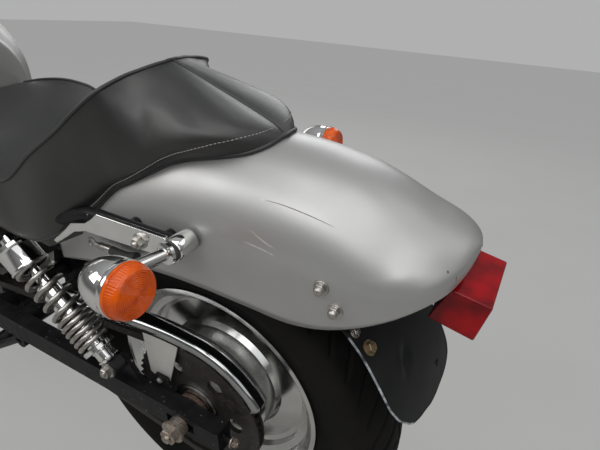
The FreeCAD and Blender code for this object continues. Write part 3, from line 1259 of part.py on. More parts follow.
def lamp_centre():
    """The middle of the headlight, ahead of the lower yoke."""
    return steer_point(LOWER_YOKE_T, FORK_OFFSET) + Vector(LAMP_FROM_YOKE[0], 0, LAMP_FROM_YOKE[1])


def headlight():
    """A round lamp in a bucket, on a bracket from the lower yoke, with a recess for its glass."""
    centre, ahead, r = lamp_centre(), Vector(1, 0, 0), LAMP_RADIUS
    bucket = rod(centre - ahead * 30.0, centre + ahead * 70.0, r)
    dome = Part.makeCone(r - 36.0, r, 40.0, centre - ahead * 70.0, ahead)
    rim = rod(centre + ahead * 62.0, centre + ahead * 78.0, r + 5.0)
    recess = rod(centre + ahead * 66.0, centre + ahead * 90.0, LAMP_GLASS)
    stay = block((centre.x - 104.0, centre.x - 68.0), (-16.0, 16.0), (centre.z - 90.0, centre.z))
    along = (LOWER_YOKE_T - 58.0, UPPER_YOKE_T + 50.0)
    yoke_room = steer_frame(block((-60.0, FORK_OFFSET + 20.0 + SEAT_GAP), (-70.0, 70.0), along))
    return fuse([bucket, dome, rim, stay]).cut([recess, yoke_room])


def headlight_lens():
    """The domed glass in the headlight's rim."""
    centre, r = lamp_centre(), LAMP_GLASS - SEAT_GAP
    back = 66.0 + SEAT_GAP

    def at(ahead, radius):
        return centre + Vector(ahead, 0, radius)

    edges = [
        Part.LineSegment(at(back, 0), at(back, r)),
        Part.LineSegment(at(back, r), at(76.0, r)),
        Part.Arc(at(76.0, r), at(85.0, r * 0.55), at(88.0, TIP_FLAT)),
        Part.LineSegment(at(88.0, TIP_FLAT), at(88.0, 0)),
        Part.LineSegment(at(88.0, 0), at(back, 0)),
    ]
    return turned(edges, centre, Vector(1, 0, 0))


def front_signal_at(side):
    """The middle of a front turn signal's lens, and its stem's foot beside the fork leg."""
    foot = steer_point(LOWER_YOKE_T + 62.0, FORK_OFFSET + 12.0, side * (FORK_Y + 14.0))
    return Vector(foot.x + 46.0, side * (FORK_Y + 115.0), foot.z), foot


def front_indicators():
    """Two turn signals on stems from clamps round the fork legs."""
    parts = []
    back, low = Vector(-1, 0, 0), LOWER_YOKE_T + 46.0
    for side in SIDES.values():
        face, foot = front_signal_at(side)
        at = (FORK_OFFSET, side * FORK_Y)
        clamp = rod((*at, low), (*at, low + 32.0), SLIDER_RADIUS + 2.0)
        stem = rod(foot, face + back * (LENS_DEPTH + SIGNAL_BAND + 10.0), SIGNAL_STEM)
        one = fuse([signal_shell(face, back), stem, steer_frame(clamp)])
        leg = rod((*at, SLIDER_TOP_T), (*at, UPPER_YOKE_T + 50.0), FORK_TUBE_RADIUS + PRESS_GAP)
        parts.append(one.cut(steer_frame(leg)))
    return Part.makeCompound(parts)


def front_signal_lenses():
    """The two amber lenses at the front."""
    faces = [front_signal_at(side)[0] for side in SIDES.values()]
    return Part.makeCompound([signal_lens(face, Vector(-1, 0, 0)) for face in faces])


def speedometer():
    """One round clock above the yoke."""
    t = UPPER_YOKE_T + YOKE_THICK / 2
    can = rod((76.0, 0, t + 34.0), (76.0, 0, t + 84.0), 41.0)
    stay = block((46.0, 76.0), (-12.0, 12.0), (t, t + 36.0))
    return steer_frame(fuse([can, stay]))


def front_fender():
    """A short sheet over the tyre, held between the fork legs."""
    outer_r, half = FRONT_RADIUS + 26.0, 76.0 - SEAT_GAP
    outside = [(half, outer_r - 44.0), (half, outer_r - 14.0), (half - 14.0, outer_r)]
    inside = [(half - 15.5, outer_r - 2.5), (half - 2.5, outer_r - 15.0), (half - 2.5, outer_r - 44.0)]
    profile = outside + [(-y, r) for y, r in outside[::-1] + inside[::-1]] + inside
    corners = [Vector(0, y, r) + FRONT_AXLE for y, r in profile]
    face = Part.Face(Part.makePolygon(corners + corners[:1]))
    face.rotate(FRONT_AXLE, Y_AXIS, -78.0)
    sheet = face.revolve(FRONT_AXLE, Y_AXIS, 120)
    legs = []
    for side in SIDES.values():
        at, top, wide = (FORK_OFFSET, side * FORK_Y), SLIDER_TOP_T, SLIDER_RADIUS + SEAT_GAP
        slider = rod((*at, AXLE_T - 45.0), (*at, top + 15.0), wide)
        collar = rod((*at, top - SEAT_GAP), (*at, top + 85.0), wide + 3.0)
        legs += [steer_frame(slider), steer_frame(collar)]
    return sheet.cut(legs)


def brake_caliper():
    """A two-piston caliper behind the left slider, straddling the disc."""
    y = FRONT_HUB_HALF + SEAT_GAP
    gap = (y - TURN_GAP, y + BRAKE_DISC_THICK + TURN_GAP)
    angle = math.radians(52.0)
    centre = FRONT_AXLE + Vector(-math.sin(angle), 0, math.cos(angle)) * (BRAKE_DISC_RADIUS - 8.0)
    body = block((-30.0, 30.0), (gap[0] - 12.0, gap[1] + 30.0), (-42.0, 42.0))
    slot = block((-80.0, 80.0), gap, (-80.0, 22.0))
    body = body.cut(slot)
    body.rotate(Vector(0, 0, 0), Y_AXIS, -52.0)
    body.translate(centre)
    at = (FORK_OFFSET, FORK_Y)
    leg = rod((*at, AXLE_T - 45.0), (*at, SLIDER_TOP_T), SLIDER_RADIUS)
    return body.cut(steer_frame(leg))


# The whole machine

def all_nodes():
    """Every node's shape, upright."""
    nodes = {
        "frame": main_frame(),
        "swingarm": swingarm(),
        "rear_axle": rear_axle(),
        "crankcase": crankcase(),
        "front_cylinder": cylinder(1),
        "rear_cylinder": cylinder(-1),
        "air_cleaner": air_cleaner(),
        "front_sprocket": front_sprocket(),
        "sprocket_cover": sprocket_cover(),
        "radiator": radiator(),
        "exhaust_lower": lower_exhaust(),
        "exhaust_upper": upper_exhaust(),
        "fuel_tank": fuel_tank(),
        "seat": seat(),
        "battery_box": battery_box(),
        "side_covers": Part.makeCompound([side_cover(1), side_cover(-1)]),
        "rear_fender": rear_fender(),
        "inner_mudguard": inner_mudguard(),
        "strut_left": strut(1),
        "strut_right": strut(-1),
        "rear_indicators": rear_indicators(),
        "rear_signal_lenses": rear_signal_lenses(),
        "tail_lamp": tail_lamp(),
        "shock_left": shock_body(),
        "shock_right": mirror_y(shock_body()),
        "springs": both_sides(shock_spring()),
        "chain": chain(),
        "chain_guard": chain_guard(),
        "brake_plate": brake_plate(),
        "foot_controls": foot_controls(),
        "side_stand": side_stand(),
        "yokes": yokes(),
        "fork_left": fork(1),
        "fork_right": fork(-1),
        "handlebar": handlebar(),
        "grips": grips(),
        "hand_controls": hand_controls(),
        "headlight": headlight(),
        "headlight_lens": headlight_lens(),
        "front_indicators": front_indicators(),
        "front_signal_lenses": front_signal_lenses(),
        "speedometer": speedometer(),
        "front_fender": front_fender(),
        "brake_caliper": brake_caliper(),
        "front_axle": front_axle(),
        "front_wheel_rim": front_wheel(),
        "front_tyre": tyre(FRONT_AXLE, FRONT_RADIUS, FRONT_TYRE_HALF, FRONT_RIM_RADIUS, FRONT_RIM_HALF,
                           FRONT_CROWN_DROP, FRONT_CROWN_HALF),
        "brake_disc": brake_disc(),
        "rear_wheel_disc": rear_wheel(),
        "rear_tyre": tyre(REAR_AXLE, REAR_RADIUS, REAR_TYRE_HALF, REAR_RIM_RADIUS, REAR_RIM_HALF,
                          REAR_CROWN_DROP, REAR_CROWN_HALF),
        "rear_sprocket": rear_sprocket(),
    }
    return nodes


def lean_over(point):
    """Where a point of the upright machine lies once it leans on its stand."""
    placement = FreeCAD.Placement(Vector(0, 0, 0), FreeCAD.Rotation(Vector(1, 0, 0), -LEAN))
    return placement.multVec(Vector(point))


def parked(nodes):
    """Leans every piece and puts the origin under the middle of the overall box."""
    leaned = {}
    box = FreeCAD.BoundBox()
    for name, shape in nodes.items():
        shape = shape.copy()
        shape.rotate(Vector(0, 0, 0), Vector(1, 0, 0), -LEAN)
        leaned[name] = shape
        box.add(shape.optimalBoundingBox(False, False))
    shift = Vector(-(box.XMin + box.XMax) / 2, -(box.YMin + box.YMax) / 2, -box.ZMin)
    for shape in leaned.values():
        shape.translate(shift)
    return leaned, shift, box


def main():
    os.makedirs("parts", exist_ok=True)
    leaned, shift, box = parked(all_nodes())
    for name, shape in leaned.items():
        shape.exportStep("parts/" + name + ".step")
    print("shift", round(shift.x, 3), round(shift.y, 3), round(shift.z, 3))
    print("size", round(box.XLength, 1), round(box.YLength, 1), round(box.ZLength, 1))
    return leaned, shift


main()
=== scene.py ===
# %% [markdown]
# # A cruiser motorcycle on its side stand
# The CAD frame comes in first: every bracket, tube and gear is already in its place. This
# lesson dresses it. Painted sheet, padding, lenses and tread are new surfaces worked out with
# numpy, and every part gets a finish made of shader nodes.

# %% Load the frame and find the machine's own axes
import json
import math

import bmesh
import bpy
import numpy as np
from mathutils import Matrix


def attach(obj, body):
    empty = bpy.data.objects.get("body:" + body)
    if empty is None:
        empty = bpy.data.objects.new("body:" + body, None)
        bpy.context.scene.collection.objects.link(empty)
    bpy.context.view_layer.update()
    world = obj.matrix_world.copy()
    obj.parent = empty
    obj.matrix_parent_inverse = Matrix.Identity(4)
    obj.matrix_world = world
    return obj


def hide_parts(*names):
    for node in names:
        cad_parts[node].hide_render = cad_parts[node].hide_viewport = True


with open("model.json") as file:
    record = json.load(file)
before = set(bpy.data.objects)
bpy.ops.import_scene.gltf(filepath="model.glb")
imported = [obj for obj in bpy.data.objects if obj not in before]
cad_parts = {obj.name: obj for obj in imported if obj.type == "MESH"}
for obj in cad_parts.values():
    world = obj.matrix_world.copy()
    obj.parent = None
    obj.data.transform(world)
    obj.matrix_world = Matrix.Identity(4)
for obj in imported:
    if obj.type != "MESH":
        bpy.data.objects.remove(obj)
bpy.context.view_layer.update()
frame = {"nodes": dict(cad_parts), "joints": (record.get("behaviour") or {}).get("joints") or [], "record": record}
joints = {joint["name"]: joint for joint in frame["joints"]}
REAR_HUB = np.array([0.0, 0.0, 0.325])
FRONT_HUB = np.array([1.645, 0.0, 0.320])
wheel_left = np.array(joints["rear_wheel_spin"]["axis"], float)
lean_turn = np.array([[1, 0, 0], [0, wheel_left[1], -wheel_left[2]], [0, wheel_left[2], wheel_left[1]]])
lean_shift = np.array(joints["rear_wheel_spin"]["pos_m"], float) - lean_turn @ REAR_HUB


def parked(points):
    """Points of the upright machine, in metres, leaned over and moved to where it is parked."""
    return np.asarray(points, float) @ lean_turn.T + lean_shift


print("lean, degrees:", round(math.degrees(math.asin(-wheel_left[2])), 2), "shift:", lean_shift.round(4))

# %% [markdown]
# ## The camera
# The photograph looks down on the rear left corner from shoulder height. The camera's place is
# given in the upright machine's axes and leaned with it, so the machine fills the same pixels.

# %% Camera
CAMERA_AT = np.array([-0.4096, 0.4920, 1.0048])
CAMERA_AHEAD = np.array([0.410, -0.757, -0.509])
CAMERA_RIGHT = np.array([-0.876, -0.482, 0.012])
FOCAL_PIXELS = 478.0
IMAGE_WIDTH = 600.0


def aim_camera(place, ahead, right):
    """Three unit axes at right angles, from the viewing and sideways directions, make the turn."""
    ahead = ahead / np.linalg.norm(ahead)
    right = right - ahead * (right @ ahead)
    right = right / np.linalg.norm(right)
    turn = lean_turn @ np.column_stack([right, np.cross(right, ahead), -ahead])
    camera = bpy.data.objects.new("camera", bpy.data.cameras.new("camera"))
    bpy.context.scene.collection.objects.link(camera)
    camera.matrix_world = Matrix([[*row, at] for row, at in zip(turn, parked(place))] + [[0, 0, 0, 1]])
    camera.data.sensor_width = 36.0
    camera.data.lens = FOCAL_PIXELS / IMAGE_WIDTH * camera.data.sensor_width
    camera.data.clip_start = 0.02
    return camera


bpy.context.scene.camera = aim_camera(CAMERA_AT, CAMERA_AHEAD, CAMERA_RIGHT)
print("camera at", [round(v, 3) for v in bpy.context.scene.camera.location])

# %% [markdown]
# ## Meshes from grids of points
# A curved sheet is easiest to write as a function of two parameters: work out a grid of points
# at once, then join neighbours into four-sided faces. These helpers do the joining, so each
# piece below only has to say where its points are.

# %% Helpers that turn points into pieces
def grid_faces(rows, columns, wrap_rows=False, wrap_columns=False):
    """Each face joins a point, the next row's, its neighbour there and back, by index."""
    row, column = np.meshgrid(np.arange(rows if wrap_rows else rows - 1),
                              np.arange(columns if wrap_columns else columns - 1), indexing="ij")
    next_row, next_column = (row + 1) % rows, (column + 1) % columns
    corners = [row * columns + column, next_row * columns + column,
               next_row * columns + next_column, row * columns + next_column]
    return np.stack(corners, -1).reshape(-1, 4)


def smooth_line(points, count):
    """A curve through every point: between two of them a cubic blends their slopes."""
    points = np.asarray(points, float)
    knots = np.r_[0, np.cumsum(np.linalg.norm(np.diff(points, axis=0), axis=1))]
    slopes = np.gradient(points, knots, axis=0)
    at = np.linspace(0, knots[-1], count)
    run = np.clip(np.searchsorted(knots, at, side="right") - 1, 0, len(knots) - 2)
    length = (knots[run + 1] - knots[run])[:, None]
    t = (at - knots[run])[:, None] / length
    start, end = 2 * t ** 3 - 3 * t ** 2 + 1, 3 * t ** 2 - 2 * t ** 3
    return (start * points[run] + end * points[run + 1]
            + length * ((t ** 3 - 2 * t ** 2 + t) * slopes[run] + (t ** 3 - t ** 2) * slopes[run + 1]))


def gather(parts):
    """Several (points, faces) pairs as one: each one's face numbers move up by the points before it."""
    offsets = np.cumsum([0] + [len(points) for points, _ in parts[:-1]])
    faces = []
    for (_, part), offset in zip(parts, offsets):
        faces += [group + offset for group in (part if isinstance(part, list) else [part])]
    return np.vstack([points for points, _ in parts]), faces


def make_piece(name, points, faces, body, look, slot=None, sharp=40.0, closed=True):
    """A mesh in its parked place, its doubles merged, riding on a body. Edges sharper than the
    angle stay crisp, and a closed one is turned to face outwards. The slot is not used."""
    slot = slot or look
    groups = faces if isinstance(faces, list) else [faces]
    mesh = bpy.data.meshes.new(name)
    corners = [face for group in groups for face in group.tolist()]
    mesh.from_pydata(parked(np.reshape(points, (-1, 3))).tolist(), [], corners)
    work = bmesh.new()
    work.from_mesh(mesh)
    bmesh.ops.remove_doubles(work, verts=work.verts, dist=1e-6)
    if closed:
        bmesh.ops.recalc_face_normals(work, faces=work.faces)
    work.to_mesh(mesh)
    work.free()
    mesh.polygons.foreach_set("use_smooth", np.ones(len(mesh.polygons), bool))
    mesh.set_sharp_from_angle(angle=math.radians(sharp))
    mesh.materials.append(FINISHES[look])
    piece = bpy.data.objects.new(name, mesh)
    bpy.context.scene.collection.objects.link(piece)
    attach(piece, body)
    print(f"{name}: {len(mesh.polygons)} faces on {body}")
    return piece


def add_modifier(piece, kind, **values):
    """A live modifier with the given settings."""
    modifier = piece.modifiers.new(kind.lower(), kind)
    for key, value in values.items():
        setattr(modifier, key, value)
    return modifier

# %% [markdown]
# ## Turned pieces, bars and fasteners
# Nuts, lenses and lamp shells are round, so a profile of (height, radius) points spun about a
# line gives them. A bolt is a washer, a six-sided head with a chamfer, and sometimes a dome. A
# flat part is an outline drawn from the side and given its thickness.

# %% Helpers for turned pieces, bars and plates
MIRROR = np.array([1.0, -1.0, 1.0])


def facing(direction):
    """Three axes at right angles as columns: two across the direction, then the direction."""
    ahead = np.asarray(direction, float) / np.linalg.norm(direction)
    side = np.cross(ahead, [0.0, 0.0, 1.0] if abs(ahead[2]) < 0.9 else [0.0, 1.0, 0.0])
    side = side / np.linalg.norm(side)
    return np.column_stack([side, np.cross(ahead, side), ahead])


def turned(profile, at, direction, sides=48, ripple=None):
    """Each (height, radius) point goes round a circle: radius times cosine and sine, plus the
    height along the direction. A ripple adds its depth times the cosine of count times the angle."""
    height, radius = np.asarray(profile, float).T
    angle = np.linspace(0, 2 * np.pi, sides, endpoint=False)
    round_radius = radius[:, None] * np.ones(sides)
    if ripple:
        count, depth, low, high = ripple
        ribbed = ((height > low) & (height < high))[:, None]
        round_radius = round_radius + depth * np.cos(count * angle) * ribbed
    local = np.stack([round_radius * np.cos(angle), round_radius * np.sin(angle),
                      height[:, None] + 0 * angle], -1)
    points = local @ facing(direction).T + np.asarray(at)
    return points.reshape(-1, 3), grid_faces(len(height), sides, False, True)


def bar(line, radius, sides=12):
    """A circle carried along a line of points: at each one it lies across the line's slope."""
    line = np.asarray(line, float)
    ahead = np.gradient(line, axis=0)
    ahead /= np.linalg.norm(ahead, axis=1)[:, None]
    side = np.cross(ahead, [0.0, 0.0, 1.0])
    weak = np.linalg.norm(side, axis=1) < 0.15
    side[weak] = np.cross(ahead[weak], [0.0, 1.0, 0.0])
    side /= np.linalg.norm(side, axis=1)[:, None]
    up = np.cross(ahead, side)
    angle = np.linspace(0, 2 * np.pi, sides, endpoint=False)
    size = np.r_[1e-6, np.ones(len(line)), 1e-6] * radius
    line, side, up = (np.vstack([a[:1], a, a[-1:]]) for a in (line, side, up))
    ring = np.cos(angle)[:, None] * side[:, None] + np.sin(angle)[:, None] * up[:, None]
    points = line[:, None] + size[:, None, None] * ring
    return points.reshape(-1, 3), grid_faces(len(line), sides, False, True)


def bolt(at, direction, flats, head, dome=0.0, washer=None):
    """A washer, a six-sided head with a chamfered top, and a round dome where there is one."""
    washer = flats * 0.78 if washer is None else washer
    corner = flats / math.sqrt(3)
    thick = flats * 0.13
    top = thick + head
    disc = turned([(-0.0004, 1e-6), (-0.0004, washer), (thick, washer), (thick + 0.0003, washer - 0.0004),
                   (thick + 0.0003, 1e-6)], at, direction, 32)
    body = turned([(thick, 1e-6), (thick, corner), (thick + head * 0.85, corner), (top, corner * 0.88),
                   (top, 1e-6)], at, direction, 6)
    parts = [disc, body]
    if dome:
        bend = np.linspace(0, np.pi / 2, 8)
        cap = [(top + dome * math.sin(a), dome * 0.98 * math.cos(a) + 1e-6) for a in bend]
        parts.append(turned(cap, at, direction, 32))
    else:
        end = top + flats * 0.16
        stud = [(top, 1e-6), (top, flats * 0.3), (end, flats * 0.27), (end, 1e-6)]
        parts.append(turned(stud, at, direction, 24))
    return gather(parts)


def plate_faces(count):
    """The sides and both ends between two rings of points."""
    ends = [np.arange(count)[None], np.arange(count, 2 * count)[None, ::-1]]
    return [grid_faces(2, count, False, True), *ends]


def plate(outline, middle, half):
    """An outline in X and Z between two places across the machine, its sides and two faces."""
    points = [np.column_stack([outline[:, 0], 0 * outline[:, 0] + y, outline[:, 1]])
              for y in (middle - half, middle + half)]
    return np.vstack(points), plate_faces(len(outline))


def both_sides(parts):
    """The parts and their mirror images across the machine, whose faces run the other way."""
    return parts + [(points * MIRROR, faces) for points, faces in parts]

# %% [markdown]
# ## Finishes
# A real surface is never one flat colour. Each finish mixes two near colours with noise, lets
# the gloss wander a little, adds a fine grain, and where the real part has them, small specks
# of rust, grease or bare metal. One recipe with different numbers gives them all.

# %% The recipe for a finish
def finish(name, colour, second, blotch, rough, metal=0.0, grain=None, specks=None, sockets=None):
    """A principled shader. Noise of the blotch scale mixes the two colours and steers roughness
    between two values; grain is (scale, depth) of a bump; specks are (colour, scale, share);
    sockets names any further sockets with their values."""
    material = bpy.data.materials.new(name)
    material.use_nodes = True
    tree = material.node_tree
    surface = tree.nodes["Principled BSDF"]
    place = tree.nodes.new("ShaderNodeTexCoord").outputs["Object"]

    def noise(scale, detail=4.0):
        """Noise on Object coordinates, between 0 and 1."""
        texture = tree.nodes.new("ShaderNodeTexNoise")
        texture.inputs["Scale"].default_value = scale
        texture.inputs["Detail"].default_value = detail
        tree.links.new(place, texture.inputs["Vector"])
        return texture.outputs["Fac"]

    def spread(value, low, high, to_low, to_high):
        """The value's stretch from low to high, spread over another stretch."""
        node = tree.nodes.new("ShaderNodeMapRange")
        for socket, number in zip(("From Min", "From Max", "To Min", "To Max"), (low, high, to_low, to_high)):
            node.inputs[socket].default_value = number
        tree.links.new(value, node.inputs["Value"])
        return node.outputs["Result"]

    def mix(share, first, other):
        """The first colour where the share is 0, the other where it is 1."""
        node = tree.nodes.new("ShaderNodeMix")
        node.data_type = "RGBA"
        tree.links.new(share, node.inputs["Factor"])
        for socket, value in ((node.inputs["A"], first), (node.inputs["B"], other)):
            if isinstance(value, tuple):
                socket.default_value = (*value, 1.0)
            else:
                tree.links.new(value, socket)
        return node.outputs["Result"]

    cloud = noise(blotch)
    shade = mix(spread(cloud, 0.35, 0.65, 0.0, 1.0), colour, second)
    if specks:
        speck_colour, scale, share = specks
        spots = spread(noise(scale, 2.0), 0.78 - share, 0.80 - share, 0.0, 1.0)
        shade = mix(spots, shade, speck_colour)
    tree.links.new(shade, surface.inputs["Base Color"])
    tree.links.new(spread(cloud, 0.3, 0.7, *rough), surface.inputs["Roughness"])
    surface.inputs["Metallic"].default_value = metal
    if grain:
        bump = tree.nodes.new("ShaderNodeBump")
        bump.inputs["Distance"].default_value = grain[1]
        bump.inputs["Strength"].default_value = 1.0
        tree.links.new(noise(grain[0], 3.0), bump.inputs["Height"])
        tree.links.new(bump.outputs["Normal"], surface.inputs["Normal"])
    for socket, value in (sockets or {}).items():
        surface.inputs[socket].default_value = value
    return material

# %% [markdown]
# ## Metals, paints, rubber and lenses
# One row for each finish on the machine. Metals have a bright colour and little roughness, rubber
# a dark colour and much of it, and a lens is a saturated colour under a clear coat. The CAD nodes
# get the finish that has the name of their material slot.

# %% Metals, paints, rubber and lenses
# Columns: two colours, blotch scale, roughness, metal, grain, specks, other sockets
FINISH_TABLE = {
    "chrome": ((0.78, 0.78, 0.77), (0.70, 0.70, 0.69), 30, (0.05, 0.12), 1.0),
    "polished_alloy": ((0.66, 0.66, 0.65), (0.55, 0.55, 0.54), 24, (0.12, 0.24), 1.0, (900, 0.00002)),
    "silver_paint": ((0.40, 0.40, 0.395), (0.36, 0.36, 0.355), 9, (0.36, 0.44), 0.60, (5200, 0.000012), None,
        {"Coat Weight": 0.12, "Coat Roughness": 0.30}),
    "black_frame": ((0.006, 0.006, 0.007), (0.011, 0.011, 0.012), 40, (0.34, 0.48), 0.0, (700, 0.00006),
        ((0.20, 0.19, 0.18), 170, 0.075), {"Specular IOR Level": 0.12}),
    "satin_black": ((0.008, 0.009, 0.010), (0.015, 0.015, 0.016), 30, (0.40, 0.55), 0.0, (900, 0.00005),
        ((0.06, 0.055, 0.05), 190, 0.04), {"Specular IOR Level": 0.16}),
    "cylinder_black": ((0.018, 0.018, 0.019), (0.030, 0.030, 0.031), 60, (0.42, 0.55), 0.2, (1400, 0.00010)),
    "engine_alloy": ((0.40, 0.40, 0.39), (0.31, 0.31, 0.30), 28, (0.36, 0.52), 0.9, (800, 0.00010),
        ((0.16, 0.15, 0.13), 130, 0.05)),
    "axle_steel": ((0.42, 0.40, 0.37), (0.30, 0.24, 0.19), 120, (0.34, 0.55), 0.9, (1200, 0.00010),
        ((0.20, 0.085, 0.035), 260, 0.16)),
    # Dark steel, made darker still as painted shade, because the sprocket and chain sit in shade.
    "chain_steel": ((0.018, 0.017, 0.017), (0.038, 0.031, 0.028), 90, (0.38, 0.62), 0.5, (1500, 0.00015),
        ((0.20, 0.19, 0.18), 420, 0.10)),
    "spring_steel": ((0.48, 0.47, 0.45), (0.36, 0.34, 0.31), 130, (0.26, 0.42), 1.0, (1300, 0.00008),
        ((0.13, 0.09, 0.06), 300, 0.07)),
    "disc_steel": ((0.44, 0.44, 0.43), (0.36, 0.35, 0.34), 60, (0.24, 0.38), 1.0, (1600, 0.00003)),
    "seat_vinyl": ((0.008, 0.0085, 0.0085), (0.013, 0.013, 0.0125), 14, (0.32, 0.42), 0.0, (1500, 0.00035),
        None, {"Coat Weight": 0.35, "Coat Roughness": 0.30}),
    "black_plastic": ((0.020, 0.020, 0.021), (0.030, 0.030, 0.031), 30, (0.42, 0.54), 0.0, (1300, 0.00010)),
    "black_rubber": ((0.018, 0.018, 0.018), (0.034, 0.033, 0.032), 40, (0.62, 0.78), 0.0, (1100, 0.00012)),
    "tyre_rubber": ((0.005, 0.005, 0.005), (0.011, 0.010, 0.009), 18, (0.62, 0.82), 0.0, (900, 0.00020), None,
        {"Specular IOR Level": 0.10}),
    "red_lens": ((0.34, 0.001, 0.005), (0.13, 0.001, 0.003), 26, (0.08, 0.14), 0.0, None, None,
        {"Specular IOR Level": 0.15, "Coat Weight": 0.25, "Coat Roughness": 0.05}),
    "amber_lens": ((0.72, 0.105, 0.002), (0.56, 0.070, 0.001), 60, (0.10, 0.16), 0.0, None, None,
        {"Specular IOR Level": 0.3, "Coat Weight": 0.15, "Coat Roughness": 0.08}),
    "dark_steel": ((0.030, 0.031, 0.034), (0.045, 0.046, 0.049), 80, (0.30, 0.42), 0.6, (1300, 0.00008)),
    "rusty_steel": ((0.105, 0.070, 0.055), (0.055, 0.030, 0.022), 160, (0.42, 0.62), 0.5, (1100, 0.00014),
        ((0.22, 0.19, 0.17), 300, 0.10)),
    "brushed_plate": ((0.55, 0.54, 0.51), (0.49, 0.48, 0.45), 25, (0.40, 0.52), 0.35, (1600, 0.00004)),
    # A darker chrome: painted shade in place of the darker surroundings that the guard mirrors.
    "guard_chrome_painted_shade": ((0.40, 0.41, 0.41), (0.34, 0.35, 0.35), 30, (0.08, 0.16), 1.0),
    "passivated": ((0.20, 0.19, 0.10), (0.28, 0.17, 0.11), 220, (0.34, 0.5), 0.6),
    # Painted highlight: a pale, patchy colour for the lit edge of the mudguard's rolled rim.
    "worn_edge": ((0.42, 0.45, 0.48), (0.03, 0.032, 0.035), 90, (0.35, 0.5)),
    "fender_mark": ((0.50, 0.50, 0.47), (0.42, 0.42, 0.40), 200, (0.45, 0.55), 0.3),
    # Dark chips and a rust speck, and painted shade along a thin crease in the fender.
    "fender_chip": ((0.030, 0.025, 0.020), (0.12, 0.05, 0.02), 300, (0.6, 0.7)),
    "clear_lens": ((0.72, 0.74, 0.75), (0.60, 0.62, 0.64), 60, (0.04, 0.08), 0.3, None, None,
        {"Coat Weight": 1.0, "Coat Roughness": 0.03}),
    "seat_thread": ((0.42, 0.41, 0.39), (0.30, 0.29, 0.27), 300, (0.6, 0.8)),
}
FINISHES = {name: finish(name, *row) for name, row in FINISH_TABLE.items()}
slot_of = {part["node"]: part["material_slot"] for part in frame["record"]["subparts"]}
for node, item in frame["nodes"].items():
    item.data.materials.clear()
    item.data.materials.append(FINISHES[slot_of[node]])
print("finishes:", len(FINISHES), "on", len(slot_of), "CAD nodes")

# %% [markdown]
# ## Floor and light
# The floor is a plain card and the surround is brighter overhead than at the horizon, so that
# chrome has something to mirror. Both look paler to rays that come straight from the camera,
# which gives a pale background without any more light on the machine.

# %% Floor and surround
FLOOR_HALF = 14.0
FLOOR_CORNERS = np.array([(-1, -1, 0), (1, -1, 0), (1, 1, 0), (-1, 1, 0)])
floor_mesh = bpy.data.meshes.new("floor")
floor_mesh.from_pydata((FLOOR_HALF * FLOOR_CORNERS).tolist(), [], [(0, 1, 2, 3)])
floor = bpy.data.objects.new("floor", floor_mesh)
bpy.context.scene.collection.objects.link(floor)
floor.data.materials.append(finish("floor_card", (0.42, 0.415, 0.40), (0.39, 0.385, 0.37), 3, (0.7, 0.85)))

surround = bpy.data.worlds.new("surround")
bpy.context.scene.world = surround
surround.use_nodes = True
sky = surround.node_tree
height = sky.nodes.new("ShaderNodeSeparateXYZ")
ramp = sky.nodes.new("ShaderNodeValToRGB")
ramp.color_ramp.elements[0].position = 0.0
ramp.color_ramp.elements[0].color = (0.20, 0.20, 0.20, 1.0)
ramp.color_ramp.elements[1].position = 0.9
ramp.color_ramp.elements[1].color = (0.72, 0.73, 0.74, 1.0)
sky.links.new(sky.nodes.new("ShaderNodeTexCoord").outputs["Generated"], height.inputs[0])
sky.links.new(height.outputs["Z"], ramp.inputs["Fac"])
sky.links.new(ramp.outputs["Color"], sky.nodes["Background"].inputs["Color"])
sky.nodes["Background"].inputs["Strength"].default_value = 0.55


def camera_sees(tree, usual, pale, share, output):
    """Rays straight from the camera meet the usual shader mixed with a share of the pale one."""
    path, part, mixed = (tree.nodes.new("ShaderNode" + kind) for kind in ("LightPath", "Math", "MixShader"))
    part.operation = "MULTIPLY"
    part.inputs[1].default_value = share
    tree.links.new(path.outputs["Is Camera Ray"], part.inputs[0])
    for source, socket in ((part, 0), (usual, 1), (pale, 2)):
        tree.links.new(source.outputs[0], mixed.inputs[socket])
    tree.links.new(mixed.outputs[0], output.inputs["Surface"])


PALE, FLOOR_SHARE = (0.43, 0.435, 0.43, 1.0), 0.7
pale_sky = sky.nodes.new("ShaderNodeBackground")
pale_sky.inputs["Color"].default_value = PALE
camera_sees(sky, sky.nodes["Background"], pale_sky, 1.0, sky.nodes["World Output"])
card = floor.data.materials[0].node_tree
pale_card = card.nodes.new("ShaderNodeEmission")
pale_card.inputs["Color"].default_value = PALE
camera_sees(card, card.nodes["Principled BSDF"], pale_card, FLOOR_SHARE, card.nodes["Material Output"])
print("floor", 2 * FLOOR_HALF, "m wide")

# %% [markdown]
# ## Lamps
# Large soft lamps stand round the machine, as on an overcast day. The long narrow one at its left
# draws the bright band along the fender's shoulder, because a curved sheet mirrors a lamp as a line.

# %% Lamps
def soft_lamp(name, at, aim, size, power, tint):
    """A rectangular lamp at a point, turned so that it shines towards another point."""
    lamp = bpy.data.objects.new(name, bpy.data.lights.new(name, "AREA"))
    lamp.data.shape, lamp.data.energy, lamp.data.color = "RECTANGLE", power, tint
    lamp.data.size, lamp.data.size_y = size
    turn = facing(np.array(at) - np.array(aim))
    lamp.matrix_world = Matrix([[*row, x] for row, x in zip(turn, at)] + [[0, 0, 0, 1]])
    bpy.context.scene.collection.objects.link(lamp)


